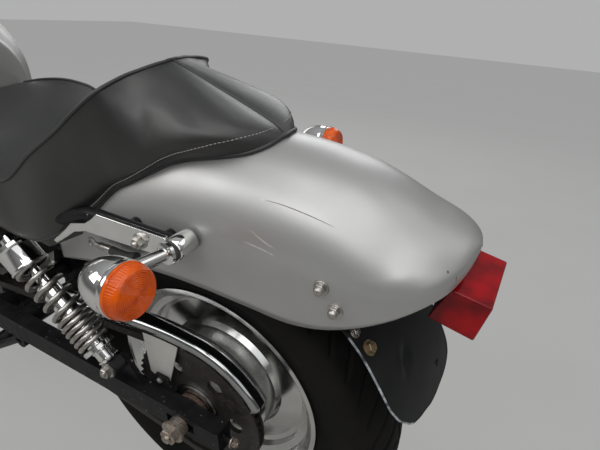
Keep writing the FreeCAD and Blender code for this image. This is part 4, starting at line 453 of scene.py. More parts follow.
# Columns: name, place, aim, width and height, power in watts, tint
LAMPS = [
    ("lamp_above", (-1.1, 1.1, 3.0), (-0.7, -0.1, 0.6), (2.6, 2.6), 38.0, (1.0, 0.99, 0.97)),
    ("lamp_side", (-0.35, 2.05, 2.26), (-0.98, -0.03, 0.73), (3.3, 0.5), 18.0, (0.99, 0.99, 1.0)),
    ("lamp_behind", (-3.4, 1.6, 2.0), (-0.8, 0.0, 0.5), (2.2, 2.2), 13.0, (0.97, 0.98, 1.0)),
    ("lamp_tail", (-2.7, -1.0, 2.9), (-1.1, -0.1, 0.75), (1.8, 1.8), 9.0, (1.0, 0.99, 0.98)),
    ("lamp_wall", (2.1, -1.8, 1.5), (-0.4, -0.13, 0.74), (3.0, 1.2), 12.0, (1.0, 0.98, 0.95)),
    ("lamp_ahead", (2.8, 2.4, 2.6), (0.2, 0.0, 0.5), (1.8, 1.8), 34.0, (1.0, 0.98, 0.95)),
    ("lamp_right", (0.0, -3.2, 2.4), (0.0, 0.0, 0.5), (1.8, 1.8), 26.0, (0.98, 0.99, 1.0)),
]
for row in LAMPS:
    soft_lamp(*row)
bpy.context.scene.view_settings.view_transform = "Standard"
print("lamps:", len(LAMPS))

# %% [markdown]
# ## The rear fender
# The real fender is one wide pressed sheet with soft shoulders. The CAD has it as straight
# sections. Here the same table of sections is read as a smooth curve, and each section is a
# three-centred arch, so highlights run along it without a break. Solidify gives its gauge.

# %% Arch sections and the fender's table
# Columns, millimetres: x, half width, bottom, spring line, crown, shoulder radius
FENDER_ROWS = np.array([
    (232, 112, 560, 590, 668, 50), (150, 113, 580, 632, 722, 54), (75, 114, 602, 664, 764, 58),
    (0, 114, 610, 684, 790, 60), (-70, 114, 611, 688, 797, 60), (-130, 113, 608, 688, 796, 60),
    (-190, 112, 606, 684, 790, 60), (-230, 111, 614, 680, 782, 59), (-262, 109, 627, 677, 771, 56),
    (-292, 105, 643, 676, 758, 50), (-318, 99, 660, 680, 746, 44), (-340, 87, 675, 684, 738, 36),
    (-358, 66, 686, 692, 730, 24), (-370, 36, 700, 703, 722, 12), (-375, 6, 711, 712, 717, 2)]) / 1000
FENDER_SHEET = 0.003


def arch(rows, side=8, shoulder=14, crown=22):
    """Across each section: up the straight side, round the shoulder arc, and over the crown arc,
    whose radius is (reach squared + rise squared - shoulder squared) / (2 (rise - shoulder))."""
    x, half, bottom, spring, top, bend = (column[:, None] for column in rows.T)
    rise, reach = top - spring, half - bend
    crown_radius = (reach ** 2 + rise ** 2 - bend ** 2) / (2 * (rise - bend))
    slope = np.arctan2(reach, crown_radius - rise)
    share = np.linspace(0, 1, side, endpoint=False)
    turn = np.linspace(0, 1, shoulder, endpoint=False) * (np.pi / 2 - slope)
    over = slope * (1 - np.linspace(0, 1, crown))
    y = np.hstack([half + 0 * share, reach + bend * np.cos(turn), crown_radius * np.sin(over)])
    z = np.hstack([bottom + (spring - bottom) * share, spring + bend * np.sin(turn),
                   top - crown_radius * (1 - np.cos(over))])
    left = np.stack([x + 0 * y, y, z], -1)
    return np.concatenate([left, left[:, -2::-1] * [1, -1, 1]], axis=1)


fender_grid = arch(smooth_line(FENDER_ROWS, 150))
fender_sections = smooth_line(FENDER_ROWS, 400)


def on_fender(x, y):
    """Height of the fender's outside at x and y: the section at x, read off its shoulder or crown."""
    _, half, _, spring, top, bend = (np.interp(x, fender_sections[::-1, 0], fender_sections[::-1, k])
                                     for k in range(6))
    rise, reach = top - spring, half - bend
    crown_radius = (reach ** 2 + rise ** 2 - bend ** 2) / (2 * (rise - bend))
    edge = crown_radius * np.sin(np.arctan2(reach, crown_radius - rise))
    y = np.minimum(np.abs(y), half)
    over = top - crown_radius + np.sqrt(np.maximum(crown_radius ** 2 - y ** 2, 0))
    corner = spring + np.sqrt(np.maximum(bend ** 2 - np.maximum(y - reach, 0) ** 2, 0))
    return np.where(y < edge, over, corner)

# %% [markdown]
# ## The fender's sheet
# The grid of arches is the outside of the sheet. Its gauge goes inwards, so that the outside
# stays where the photograph has it.

# %% The fender itself
fender = make_piece("rear_fender_sheet", fender_grid, grid_faces(*fender_grid.shape[:2]), "chassis",
                    "silver_paint", closed=False)
add_modifier(fender, "SOLIDIFY", thickness=FENDER_SHEET, offset=-1.0, use_even_offset=True)
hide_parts("rear_fender")

# %% [markdown]
# ## The seat
# A moulded foam block under stretched vinyl. A welt of piping runs round the top edge and over
# the raised back. Above it lies the dished cushion, below it the side skirt, pulled down to a
# stitched hem on the fender. Both are surfaces between named edge curves, with a soft bulge.

# %% The seat's edge curves
# Columns, millimetres: piping x, y, z, hem x, y, z, cushion's middle x, z, skirt's bulge
SEAT_STATIONS = np.array([
    (545, 96, 756, 545, 100, 690, 545, 756, 3), (500, 108, 765, 500, 116, 668, 500, 748, 5),
    (423, 125, 766, 415, 136, 636, 420, 730, 6), (394, 133, 758, 385, 141, 624, 390, 720, 7),
    (340, 139, 714, 325, 146, 612, 335, 700, 7), (293, 138, 693, 262, 145, 606, 280, 693, 8),
    (210, 132, 750, 196, 140, 624, 204, 714, 8), (144, 125, 796, 142, 112, 668, 150, 746, 8),
    (107, 118, 826, 97, 95, 704, 126, 772, 10), (80, 106, 848, 61, 91, 726, 106, 796, 14),
    (74, 88, 855, 29, 85, 745, 92, 816, 20), (71, 65, 860, 0, 77.5, 760, 80, 832, 27),
    (66, 50, 863, -27, 71.7, 769, 70, 846, 36), (60, 37, 866, -53, 67, 775, 62, 856, 42),
    (56, 24, 868, -78, 60.7, 780, 56, 863, 42), (53, 14, 869, -100, 51.2, 785, 53, 867, 34),
    (52, 7, 870, -116, 34, 791, 52, 869, 20), (51, 0, 870, -124, 0, 797, 51, 870, 6)]) / 1000
HEM_LIFT = 0.0012
stations = smooth_line(SEAT_STATIONS, 170)
piping, hem = stations[:, :3], stations[:, 3:6].copy()
on_sheet = np.clip((0.150 - hem[:, 0]) / 0.045, 0, 1)
hem[:, 2] += on_sheet * (on_fender(hem[:, 0], hem[:, 1]) + HEM_LIFT - hem[:, 2])
piping[-1, 1] = hem[-1, 1] = 0.0


def skirt_grid(across=26):
    """From hem to piping in a straight line, pushed outwards by the bulge times (1 - share), a
    ramp that starts at the piping, times 1 - e^(-share / 0.08), which rounds it under at the hem."""
    share = np.linspace(0, 1, across)[None, :, None]
    flat = hem[:, None] * (1 - share) + piping[:, None] * share
    along = np.gradient(flat, axis=0)
    outward = np.cross(along, (piping - hem)[:, None])
    outward /= np.linalg.norm(outward, axis=2)[..., None] + 1e-9
    bulge = stations[:, 8][:, None, None] * (1 - share) * (1 - np.exp(-share / 0.08))
    return flat + outward * bulge


skirt = skirt_grid()
print("skirt bulges to y", round(float(skirt[..., 1].max()), 3))


def cushion_grid(across=41):
    """Between the pipings each section is a parabola through the cushion's middle point."""
    share = np.linspace(1, -1, across)[None, :]
    middle_x, middle_z = stations[:, 6][:, None], stations[:, 7][:, None]
    x = piping[:, 0][:, None] * share ** 2 + middle_x * (1 - share ** 2)
    z = piping[:, 2][:, None] * share ** 2 + middle_z * (1 - share ** 2)
    return np.stack([x, piping[:, 1][:, None] * share, z], -1)


BASE_LIFT, BASE_HOLLOW, BASE_ON_FENDER_X = 0.0008, 0.012, 0.228


def base_grid(across=25):
    """The underside: just over the fender behind the given x, and ahead of it level with the hem
    at both sides and hollow between, by the hollow's depth times (1 - share to the fourth)."""
    share = np.linspace(-1, 1, across)[None, :]
    x, y = hem[:, 0][:, None] + 0 * share, hem[:, 1][:, None] * share
    sheet = on_fender(x, y) + BASE_LIFT
    free = hem[:, 2][:, None] + BASE_HOLLOW * (1 - share ** 4)
    edge = hem[:, 2][:, None] * np.abs(share) ** 9
    return np.stack([x, y, np.where(x < BASE_ON_FENDER_X, np.maximum(sheet, edge), free)], -1)

# %% [markdown]
# ## The seat's skin
# Foam and cover are one closed padded piece: two skirts, the cushion, the underside and a wall in
# front. Their edges share points, so merging the doubles joins them like sewn panels.

# %% The seat's skin
cushion, base = cushion_grid(), base_grid()
front_edge = np.vstack([skirt[0], cushion[0][1:], (skirt[0] * MIRROR)[::-1][1:]])
front_foot = np.linspace(front_edge[0], front_edge[-1], len(front_edge))
front_wall = np.stack([front_edge, front_foot])
seat_parts = [(skirt.reshape(-1, 3), grid_faces(*skirt.shape[:2])),
              ((skirt * MIRROR).reshape(-1, 3), grid_faces(*skirt.shape[:2])),
              (cushion.reshape(-1, 3), grid_faces(*cushion.shape[:2])),
              (base.reshape(-1, 3), grid_faces(*base.shape[:2])),
              (front_wall.reshape(-1, 3), grid_faces(*front_wall.shape[:2]))]
seat = make_piece("seat_cover", *gather(seat_parts), "chassis", "seat_vinyl", sharp=38)
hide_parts("seat")

# %% [markdown]
# ## Piping
# Piping is a cord sewn into the welt, so it is a thin bar carried along the piping curve. The
# hem is a slightly thicker roll, and one seam runs down the middle of the raised back.

# %% Piping, hem and seam
PIPING_RADIUS, HEM_RADIUS, HEM_MIDDLE, SEAM_RADIUS = 0.0026, 0.0028, 0.0015, 0.0013


def whole_way(line):
    """The left half's line, then its mirror image back, as one line round the tail."""
    return np.vstack([line, (line * MIRROR)[-2::-1]])


make_piece("seat_piping", *bar(whole_way(piping), PIPING_RADIUS, 12), "chassis", "black_plastic")
make_piece("seat_hem", *bar(whole_way(hem + [0, 0, HEM_MIDDLE]), HEM_RADIUS, 10), "chassis", "black_plastic")
middle_seam = skirt[-1] * [1, 0, 1]
make_piece("seat_seam", *bar(middle_seam[1:], SEAM_RADIUS, 10), "chassis", "black_plastic")

# %% [markdown]
# ## Stitches
# The hem's thread shows as a row of short pale stitches a finger's breadth above the skirt's
# lower edge. Hundreds of them are made at once, each a six-sided bar of a few faces.

# %% Hem stitches
STITCH_LONG, STITCH_PITCH, STITCH_RADIUS, STITCH_LIFT = 0.0036, 0.0052, 0.00042, 0.0002


def stitches(line, outward):
    """Short six-sided bars laid end to end along a line, lifted a little off the surface."""
    steps = np.r_[0, np.cumsum(np.linalg.norm(np.diff(line, axis=0), axis=1))]
    middles = np.arange(STITCH_PITCH, steps[-1] - STITCH_PITCH, STITCH_PITCH)
    at = np.column_stack([np.interp(middles, steps, line[:, k]) for k in range(3)])
    way = np.column_stack([np.gradient(at[:, k]) for k in range(3)])
    way /= np.linalg.norm(way, axis=1)[:, None]
    out = np.column_stack([np.interp(middles, steps, outward[:, k]) for k in range(3)])
    out /= np.linalg.norm(out, axis=1)[:, None]
    side = np.cross(way, out)
    angle = np.linspace(0, 2 * np.pi, 6, endpoint=False)
    ends = np.array([-0.5, -0.36, 0.36, 0.5]) * STITCH_LONG
    sizes = np.array([0.15, 1.0, 1.0, 0.15]) * STITCH_RADIUS
    points = (at[:, None, None] + way[:, None, None] * ends[None, :, None, None]
              + sizes[None, :, None, None] * (np.cos(angle)[:, None] * out[:, None, None]
                                              + np.sin(angle)[:, None] * side[:, None, None]))
    one = grid_faces(4, 6, False, True)
    return points.reshape(-1, 3), (one[None] + 24 * np.arange(len(at))[:, None, None]).reshape(-1, 4)


skirt_out = np.cross(np.gradient(skirt, axis=0), np.gradient(skirt, axis=1))
skirt_out /= np.linalg.norm(skirt_out, axis=2)[..., None] + 1e-12
STITCH_ROW = 2
first = int(np.argmax(hem[:, 0] < 0.175))
stitch_out = skirt_out[first:-1, STITCH_ROW]
hem_stitches = stitches(skirt[first:-1, STITCH_ROW] + stitch_out * STITCH_LIFT, stitch_out)
make_piece("seat_stitches", *gather(both_sides([hem_stitches])), "chassis", "seat_thread", "seat_vinyl")

# %% [markdown]
# ## The fuel tank
# Like the fender, the tank is a table of arch sections read as a smooth curve. Its ends are
# closed by shrinking the last sections towards their middles, which rounds them as a pressed
# shell is. A turned cap sits on top.

# %% Fuel tank
# Columns, millimetres: x, half width, bottom, spring line, crown, shoulder radius
TANK_ROWS = np.array([
    (556, 112, 716, 761, 868, 54), (574, 132, 716, 768, 898, 70), (620, 148, 720, 786, 926, 84),
    (760, 162, 728, 806, 944, 92), (930, 152, 742, 820, 942, 84), (1050, 118, 772, 836, 920, 64),
    (1118, 62, 800, 842, 886, 28)]) / 1000
tank_grid = arch(smooth_line(TANK_ROWS, 110))
END_STEPS = np.array([1.0, 0.985, 0.94, 0.86, 0.74, 0.55, 0.3, 0.0])


def rounded_end(section, push):
    """Copies of an end section, each shrunk towards its middle and pushed out along X by
    the square root of one minus its size squared, which makes a quarter circle."""
    middle = (section.max(axis=0) + section.min(axis=0)) / 2
    size = END_STEPS[1:, None, None]
    out = middle + (section[None] - middle) * size
    out[..., 0] = section[0, 0] + push * np.sqrt(1 - size[..., 0] ** 2)
    return out


REAR_PUSH, FRONT_PUSH = -0.008, 0.012
tank_shell = np.concatenate([rounded_end(tank_grid[0], REAR_PUSH)[::-1], tank_grid,
                             rounded_end(tank_grid[-1], FRONT_PUSH)])
TANK_CAP_AT = (0.850, 0.0, 0.9445)
# Columns: height, radius
CAP_ROWS = [(-0.004, 1e-6), (-0.004, 0.036), (0.001, 0.037), (0.004, 0.0355), (0.0045, 0.031), (0.012, 0.030),
            (0.0145, 0.027), (0.0155, 0.018), (0.0158, 1e-6)]
tank_cap = turned(CAP_ROWS, TANK_CAP_AT, (-0.02, 0, 1), 64, (24, 0.0006, 0.0044, 0.0125))
tank = make_piece("tank_shell", tank_shell, grid_faces(*tank_shell.shape[:2], False, True), "chassis",
                  "silver_paint")
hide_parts("fuel_tank")
make_piece("tank_cap", *tank_cap, "chassis", "chrome")

# %% [markdown]
# ## Turn signal lenses
# Rings moulded into the lens face and ribs round its side spread the light, and they are what the
# eye reads as a lens. The rings are a sine wave in the turned profile, the ribs a ripple round it.

# %% Turn signal lenses
LENS_RADIUS, LENS_DEPTH = 0.0300, 0.016
REAR_LENS_FACE = np.array([-0.085, 0.237, 0.696])
FRONT_LENS_FACE = np.array([1.3709, 0.215, 0.7981])


def lens(at, direction):
    """Height runs back from the face: rings are a sine of the radius, the side widens to a flange."""
    radius = np.linspace(0, LENS_RADIUS - 0.0035, 150)
    rings = 0.00045 * np.sin(2 * np.pi * radius / 0.0024) - 0.0028 * (radius / LENS_RADIUS) ** 2 + 0.0028
    face = np.column_stack([-rings, radius])
    side = [(0.0012, LENS_RADIUS - 0.0018), (0.0030, LENS_RADIUS - 0.0010), (0.0034, LENS_RADIUS - 0.0009),
            (LENS_DEPTH - 0.0036, LENS_RADIUS + 0.0005), (LENS_DEPTH - 0.0032, LENS_RADIUS + 0.0016),
            (LENS_DEPTH, LENS_RADIUS + 0.0018), (LENS_DEPTH, 1e-6)]
    profile = np.vstack([face, side])
    return turned(profile, at, direction, 240, (60, 0.00040, 0.0032, LENS_DEPTH - 0.0034))


rear_lenses = both_sides([lens(REAR_LENS_FACE, (1, 0, 0))])
front_lenses = both_sides([lens(FRONT_LENS_FACE, (-1, 0, 0))])
print("one lens has", len(rear_lenses[0][0]), "points")

# %% [markdown]
# ## Turn signal shells and stems
# Each lens closes a chromed shell, spun from sheet on the real machine, on a tube that ends in a
# ferrule, a rubber sleeve and a collar on the strut.

# %% Turn signal shells and stems
SHELL_RADIUS, SHELL_LONG = 0.0318, 0.045
STEM_RADIUS = 0.0085
stem_foot = np.array([-0.052, 0.150, 0.688])
stem_head = REAR_LENS_FACE + [0.040, -0.020, 0.0]


def shell(at, direction):
    """A rim band, then a quarter ellipse that closes in a blunt tip."""
    back = LENS_DEPTH + 0.010
    bend = np.linspace(0, np.pi / 2, 28)[1:]
    band = [(LENS_DEPTH, 1e-6), (LENS_DEPTH, SHELL_RADIUS - 0.001), (LENS_DEPTH + 0.001, SHELL_RADIUS + 0.0004),
            (LENS_DEPTH + 0.006, SHELL_RADIUS + 0.0004), (LENS_DEPTH + 0.007, SHELL_RADIUS - 0.0004),
            (back, SHELL_RADIUS)]
    tip = [(back + SHELL_LONG * math.sin(a), SHELL_RADIUS * math.cos(a) ** 0.9 + 1e-6) for a in bend]
    return turned(band + tip, at, direction, 96)


# Columns: height, radius
COLLAR_ROWS = [(-0.032, 1e-6), (-0.032, 0.0140), (-0.0305, 0.0152), (-0.002, 0.0152), (0.0, 0.0140),
               (0.0, 1e-6)]
SLEEVE_ROWS = [(-0.001, 1e-6), (-0.001, 0.0132), (0.007, 0.0132), (0.007, 1e-6)]
FERRULE_ROWS = [(0.006, 1e-6), (0.006, 0.0140), (0.0105, 0.0140), (0.0125, 0.0100), (0.0125, 1e-6)]
signal_parts = [shell(REAR_LENS_FACE, (1, 0, 0)), bar(np.linspace(stem_foot, stem_head, 6), STEM_RADIUS, 32),
                turned(FERRULE_ROWS, stem_foot, stem_head - stem_foot, 40),
                turned(COLLAR_ROWS, stem_foot, (0, 1, 0), 48)]
signals = make_piece("rear_signal_shells", *gather(both_sides(signal_parts)), "chassis", "chrome")
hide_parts("rear_indicators")
sleeve = turned(SLEEVE_ROWS, stem_foot, (0, 1, 0), 40)
make_piece("rear_signal_sleeves", *gather(both_sides([sleeve])), "chassis", "black_rubber")
rear_rings = make_piece("rear_lens_rings", *gather(rear_lenses), "chassis", "amber_lens", sharp=60)
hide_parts("rear_signal_lenses")
front_rings = make_piece("front_lens_rings", *gather(front_lenses), "steering", "amber_lens", sharp=60)
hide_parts("front_signal_lenses")

# %% [markdown]
# ## The shock absorbers
# Each is a stack of turned parts on one line: an eye on a rubber bush, a foot with a flange, the
# polished damper, a thin rod, and a bell with a knurled ring that hides the spring's upper end.

# %% Shock absorbers
SHOCK_LOW, SHOCK_HIGH = np.array([0.129, 0.140, 0.394]), np.array([0.338, 0.140, 0.592])
shock_way = SHOCK_HIGH - SHOCK_LOW
shock_long = float(np.linalg.norm(shock_way))


def shock_part(rows, sides=56, ripple=None, inside=()):
    """A turned part on the shock's line; rows are (share of its length, radius in millimetres).
    It starts on the axis, or with the rows of its inside."""
    start = list(inside) or [(rows[0][0], 1e-3)]
    profile = [(share * shock_long, r / 1000) for share, r in start + rows + [(rows[-1][0], 1e-3)]]
    return turned(profile, SHOCK_LOW, shock_way, sides, ripple)


# Columns: share of the length from the lower eye, radius in millimetres
FOOT_ROWS = [(0.040, 13.5), (0.048, 16.0), (0.056, 17.5), (0.062, 17.5), (0.066, 15.2), (0.110, 15.2),
             (0.116, 16.6), (0.124, 16.6)]
PERCH_ROWS = [(0.124, 24.0), (0.127, 27.0), (0.150, 27.6), (0.156, 26.0), (0.160, 20.0)]
DAMPER_ROWS = [(0.160, 16.6), (0.600, 17.0), (0.612, 16.0), (0.618, 9.0), (0.97, 9.0)]
BELL_INSIDE = [(0.870, 1e-3), (0.870, 27.8)]
BELL_ROWS = [(0.735, 28.0), (0.735, 31.4), (0.742, 31.8), (0.748, 31.4), (0.752, 30.0), (0.858, 30.0),
             (0.866, 31.4), (0.872, 33.0), (0.890, 33.0), (0.896, 31.6), (0.900, 27.0), (0.903, 13.0),
             (0.945, 12.0)]
KNURL = (48, 0.0005, 0.8735 * shock_long, 0.889 * shock_long)
dampers = [shock_part(FOOT_ROWS), shock_part(PERCH_ROWS), shock_part(DAMPER_ROWS),
           shock_part(BELL_ROWS, 96, KNURL, BELL_INSIDE)]
for side, name in ((1.0, "left"), (-1.0, "right")):
    parts = [(points * [1, side, 1], faces) for points, faces in dampers]
    shock = make_piece(f"shock_{name}_parts", *gather(parts), "chassis", "chrome", sharp=35)
    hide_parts(f"shock_{name}")
# Columns: height, radius
EYE_ROWS = [(-0.013, 1e-6), (-0.013, 0.0128), (-0.0120, 0.0140), (0.0120, 0.0140), (0.013, 0.0128),
            (0.013, 1e-6)]
eyes = [turned(EYE_ROWS, at, (0, 1, 0), 48) for at in (SHOCK_LOW, SHOCK_HIGH)]
make_piece("shock_eyes", *gather(both_sides(eyes)), "chassis", "dark_steel", "axle_steel", sharp=35)

# %% [markdown]
# ## The chain guard
# A thin chrome channel, darkened as painted shade for the darker things it mirrors. Its outer edge
# is rolled through a quarter circle, and that one radius draws the bright line along it. The path
# is a straight run that bends round the sprocket.

# %% Chain guard
GUARD_REACH = 0.15536
GUARD_EDGE = 0.0075
GUARD_DROP = 0.0165
GUARD_OUTER_Y = 0.107
guard_turn = np.radians([90.0, 100, 110, 120, 130, 140, 150.5])
guard_bend = np.column_stack([GUARD_REACH * np.cos(guard_turn),
                              REAR_HUB[2] + GUARD_REACH * np.sin(guard_turn)])
guard_run = [[0.330, 0.4404], [0.240, 0.4547], [0.150, 0.4690], [0.072, 0.4800]]
guard_line = smooth_line(np.vstack([guard_run, guard_bend]), 110)
guard_ahead = np.gradient(guard_line, axis=0)
guard_ahead /= np.linalg.norm(guard_ahead, axis=1)[:, None]
guard_up = np.column_stack([guard_ahead[:, 1], -guard_ahead[:, 0]])
edge = np.linspace(0, np.pi / 2, 9)
guard_section = np.vstack([
    [(0.080, -0.0030), (0.0802, -0.0008), (0.0815, 0.0), (0.0900, 0.0003)],
    np.column_stack([GUARD_OUTER_Y - GUARD_EDGE * (1 - np.sin(edge)), -GUARD_EDGE * (1 - np.cos(edge))]),
    [(GUARD_OUTER_Y, -GUARD_DROP), (GUARD_OUTER_Y - 0.0008, -GUARD_DROP - 0.0008)]])
across, lift = guard_section.T
guard_points = np.stack([guard_line[:, :1] + guard_up[:, :1] * lift, across + 0 * guard_line[:, :1],
                         guard_line[:, 1:] + guard_up[:, 1:] * lift], -1)
guard = make_piece("chain_guard_channel", guard_points, grid_faces(*guard_points.shape[:2]), "chassis",
                   "guard_chrome_painted_shade", "chrome", sharp=50, closed=False)
add_modifier(guard, "SOLIDIFY", thickness=0.0012, offset=-1.0)
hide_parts("chain_guard")

# %% [markdown]
# ## The guard's stay and the hub's ring
# A pale plate carries the guard from the swingarm. Beside the sprocket a rusty ring goes round the
# axle, a short turned tube that rides on the wheel.

# %% Stay and ring
STAY_OUTLINE = np.array([(88, 470), (10, 472), (46, 359), (70, 362), (86, 372)]) / 1000
STAY_MIDDLE, STAY_HALF = 0.1045, 0.001
stay = make_piece("chain_guard_stay", *plate(STAY_OUTLINE, STAY_MIDDLE, STAY_HALF), "chassis",
                  "brushed_plate", "chrome", sharp=30)
add_modifier(stay, "BEVEL", width=0.0004, segments=2, limit_method="ANGLE")
RING_Y = 0.1000
# Columns: height, radius
RING_ROWS = [(0.0, 1e-6), (0.0, 0.0285), (0.0015, 0.0305), (0.0060, 0.0305), (0.0076, 0.0290), (0.0076, 0.0235),
             (0.0060, 0.0222), (0.0035, 0.0215), (0.0035, 1e-6)]
make_piece("hub_ring", *turned(RING_ROWS, REAR_HUB + [0, RING_Y, 0], (0, 1, 0), 72), "rear_wheel",
           "rusty_steel", "axle_steel", sharp=35)

# %% [markdown]
# ## Small things under the seat
# A loop with a crimped metal tube and a rubber sleeve lies between the fender and the strut. The
# photograph shows the loop's end and the sleeve's start, and its far end is hidden by the rail.

# %% Loop, crimp and sleeve
LOOP_AT, LOOP_RADIUS = np.array([0.131, 0.1245, 0.628]), 0.0062
loop_turn = np.linspace(0, 2 * np.pi, 25)
loop_line = LOOP_AT + LOOP_RADIUS * np.column_stack([np.cos(loop_turn), 0 * loop_turn, np.sin(loop_turn)])
shank = bar(np.linspace(LOOP_AT - [0.007, 0, 0], [0.114, 0.1245, 0.6275], 4), 0.0030, 12)
CRIMP_ROWS = [(0.0, 1e-6), (0.0, 0.0050), (0.001, 0.0056), (0.0235, 0.0056), (0.0245, 0.0050), (0.0245, 1e-6)]
crimp = turned(CRIMP_ROWS, (0.115, 0.1245, 0.6275), (-1, 0, -0.02), 28)
SLEEVE_LINE = [(0.0915, 0.1245, 0.6270), (0.076, 0.1245, 0.6262), (0.058, 0.1250, 0.6280),
               (0.040, 0.1262, 0.6345)]
make_piece("loop_and_crimp", *gather([bar(loop_line, 0.0018, 10), shank, crimp]), "chassis", "spring_steel",
           "axle_steel", sharp=40)
make_piece("loop_sleeve", *bar(smooth_line(SLEEVE_LINE, 16), 0.0064, 24), "chassis", "black_rubber")

# %% [markdown]
# ## The strut
# The strut is a flat chromed bar cut from plate. Its front arm is cranked down under the seat.
# Its outline is one closed line, and a small bevel catches the light along the top edge.

# %% Struts
# Columns, millimetres: x, z
STRUT_OUTLINE = np.array([
    (79, 699), (-38, 699), (-38, 670), (6, 668), (108, 664), (133, 656), (181, 622), (188, 626), (153, 654),
    (137, 669), (106, 678), (90, 689)]) / 1000
STRUT_MIDDLE, STRUT_HALF = 0.1425, 0.0035
for name, side in (("left", 1.0), ("right", -1.0)):
    strut = make_piece(f"strut_{name}_bar", *plate(STRUT_OUTLINE, side * STRUT_MIDDLE, STRUT_HALF), "chassis",
                       "chrome", sharp=30)
    add_modifier(strut, "BEVEL", width=0.0012, segments=3, limit_method="ANGLE")
    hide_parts(f"strut_{name}")

# %% [markdown]
# ## The inner mudguard
# A plate rolled to a circle about the axle, with rounded lower corners and dents where something
# has pushed it. A dent is a smooth hollow: its depth falls off as e to the minus distance squared.

# %% Inner mudguard
MUDGUARD_RADIUS = 0.378
# Columns: degrees above the axle's height, left edge and right edge in millimetres
MUDGUARD_ROWS = np.array([
    (18.4, -20, -62), (19.0, 4, -80), (20.0, 22, -93), (21.5, 50, -101), (23.2, 70, -104), (25.5, 84, -105),
    (28.5, 96, -105), (31.0, 100, -105), (36.0, 98, -104), (42.0, 93, -103), (50.0, 90, -100),
    (60.0, 90, -98)])
# Columns: millimetres across, degrees up, depth, width, height in degrees, lean
DENTS = [(22.0, 33.0, 0.0050, 10.0, 1.6, 0.6), (38.0, 33.8, -0.0025, 6.0, 1.1, 0.6)]


def mudguard_place(y, degrees, out=0.0):
    """Millimetres across and degrees up as a point: radius times cosine back and sine up, less the
    dents' depths."""
    deep = 0.0
    for at, up, depth, wide, tall, lean in DENTS:
        apart = (y - at + lean * 10 * (degrees - up)) / wide
        deep = deep + depth * np.exp(-apart ** 2 - ((degrees - up) / tall) ** 2)
    radius, turn = MUDGUARD_RADIUS + out - deep, np.radians(degrees)
    return np.stack([-radius * np.cos(turn), y / 1000 + 0 * turn, REAR_HUB[2] + radius * np.sin(turn)], -1)


mudguard_up, left_mm, right_mm = smooth_line(MUDGUARD_ROWS, 130).T
mudguard_y = left_mm[:, None] + (right_mm - left_mm)[:, None] * np.linspace(0, 1, 80)
mudguard_sheet = mudguard_place(mudguard_y, mudguard_up[:, None] + 0 * mudguard_y)
mudguard = make_piece("mudguard_sheet", mudguard_sheet, grid_faces(*mudguard_sheet.shape[:2]), "chassis",
                      "satin_black", closed=False)
add_modifier(mudguard, "SOLIDIFY", thickness=0.0025, offset=0.0)
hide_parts("inner_mudguard")

# %% [markdown]
# ## The mudguard's edges, hole and fasteners
# A rolled rim stiffens the sheet. Along the left edge a pale, patchy bar is a painted highlight
# where the rolled rim catches the light, so that stretch of the rim is a piece of its own.

# %% Mudguard rim, hole and fasteners
RIM_RADIUS, LIP_HIGHLIGHT_RADIUS, LIP_HIGHLIGHT_DEGREES = 0.0017, 0.0015, (47.0, 22.6)
lip = mudguard_place(left_mm[::-1], mudguard_up[::-1])
right_edge = mudguard_place(right_mm, mudguard_up)
bottom = mudguard_place(np.linspace(-20, -62, 12), np.full(12, 18.4))
# On this stretch of the left rim a pale bar is painted as the rim's highlight.
highlight_from, highlight_to = np.searchsorted(-mudguard_up[::-1], [-degrees for degrees in LIP_HIGHLIGHT_DEGREES])
make_piece("mudguard_lip_highlight", *bar(lip[highlight_from:highlight_to], LIP_HIGHLIGHT_RADIUS, 8), "chassis", "worn_edge",
           "satin_black")
rims = [bar(line, RIM_RADIUS, 8) for line in (lip[:highlight_from + 1], lip[highlight_to - 1:], bottom, right_edge)]
make_piece("mudguard_rim", *gather(rims), "chassis", "satin_black")
# A dark triangle laid just over the sheet is painted shade for the inside of the hole.
# Columns: millimetres across, degrees up
HOLE_SHADE = np.array([(-45, 23.9), (-58, 23.3), (-46, 22.3)])
hole_shade_points = np.vstack([mudguard_place(HOLE_SHADE[:, 0], HOLE_SHADE[:, 1], out) for out in (0.0010, 0.0017)])
make_piece("mudguard_hole_shade", hole_shade_points, plate_faces(len(HOLE_SHADE)), "chassis", "tyre_rubber", "black_rubber")


def outward_at(y, degrees):
    """A point on the plate's outside and the direction straight out of it, out from the axle."""
    turn = math.radians(degrees)
    place = mudguard_place(np.array([y]), np.array([degrees]), 0.0016)[0]
    return place, (-math.cos(turn), 0.0, math.sin(turn))


make_piece("mudguard_bolt", *bolt(*outward_at(75.0, 42.0), 0.013, 0.006), "chassis", "passivated",
           "axle_steel", sharp=30)
make_piece("mudguard_nut", *bolt(*outward_at(79.0, 46.2), 0.010, 0.005), "chassis", "spring_steel",
           "axle_steel", sharp=30)

# %% [markdown]
# ## The tail lamp's bracket
# A black plate under the fender's tail carries the lamp. Only its edge shows, between the sheet
# and the lens, so it is one outline given its width.

# %% Lamp bracket
BRACKET_OUTLINE = np.array([(-226, 611), (-254, 600), (-338, 634), (-357, 682), (-300, 680)]) / 1000
BRACKET_HALF = 0.020
make_piece("lamp_bracket", *plate(BRACKET_OUTLINE, 0.0, BRACKET_HALF), "chassis", "satin_black", sharp=30)

# %% [markdown]
# ## Marks on the fender
# Real sheet has a history. A scratch is a thin ribbon laid a quarter of a millimetre over the
# paint, so it needs no texture. Chips are short dark ribbons, and one long thin dark ribbon is
# painted shade along a crease in the sheet.

# %% Scratches and chips
MARK_LIFT = 0.00025
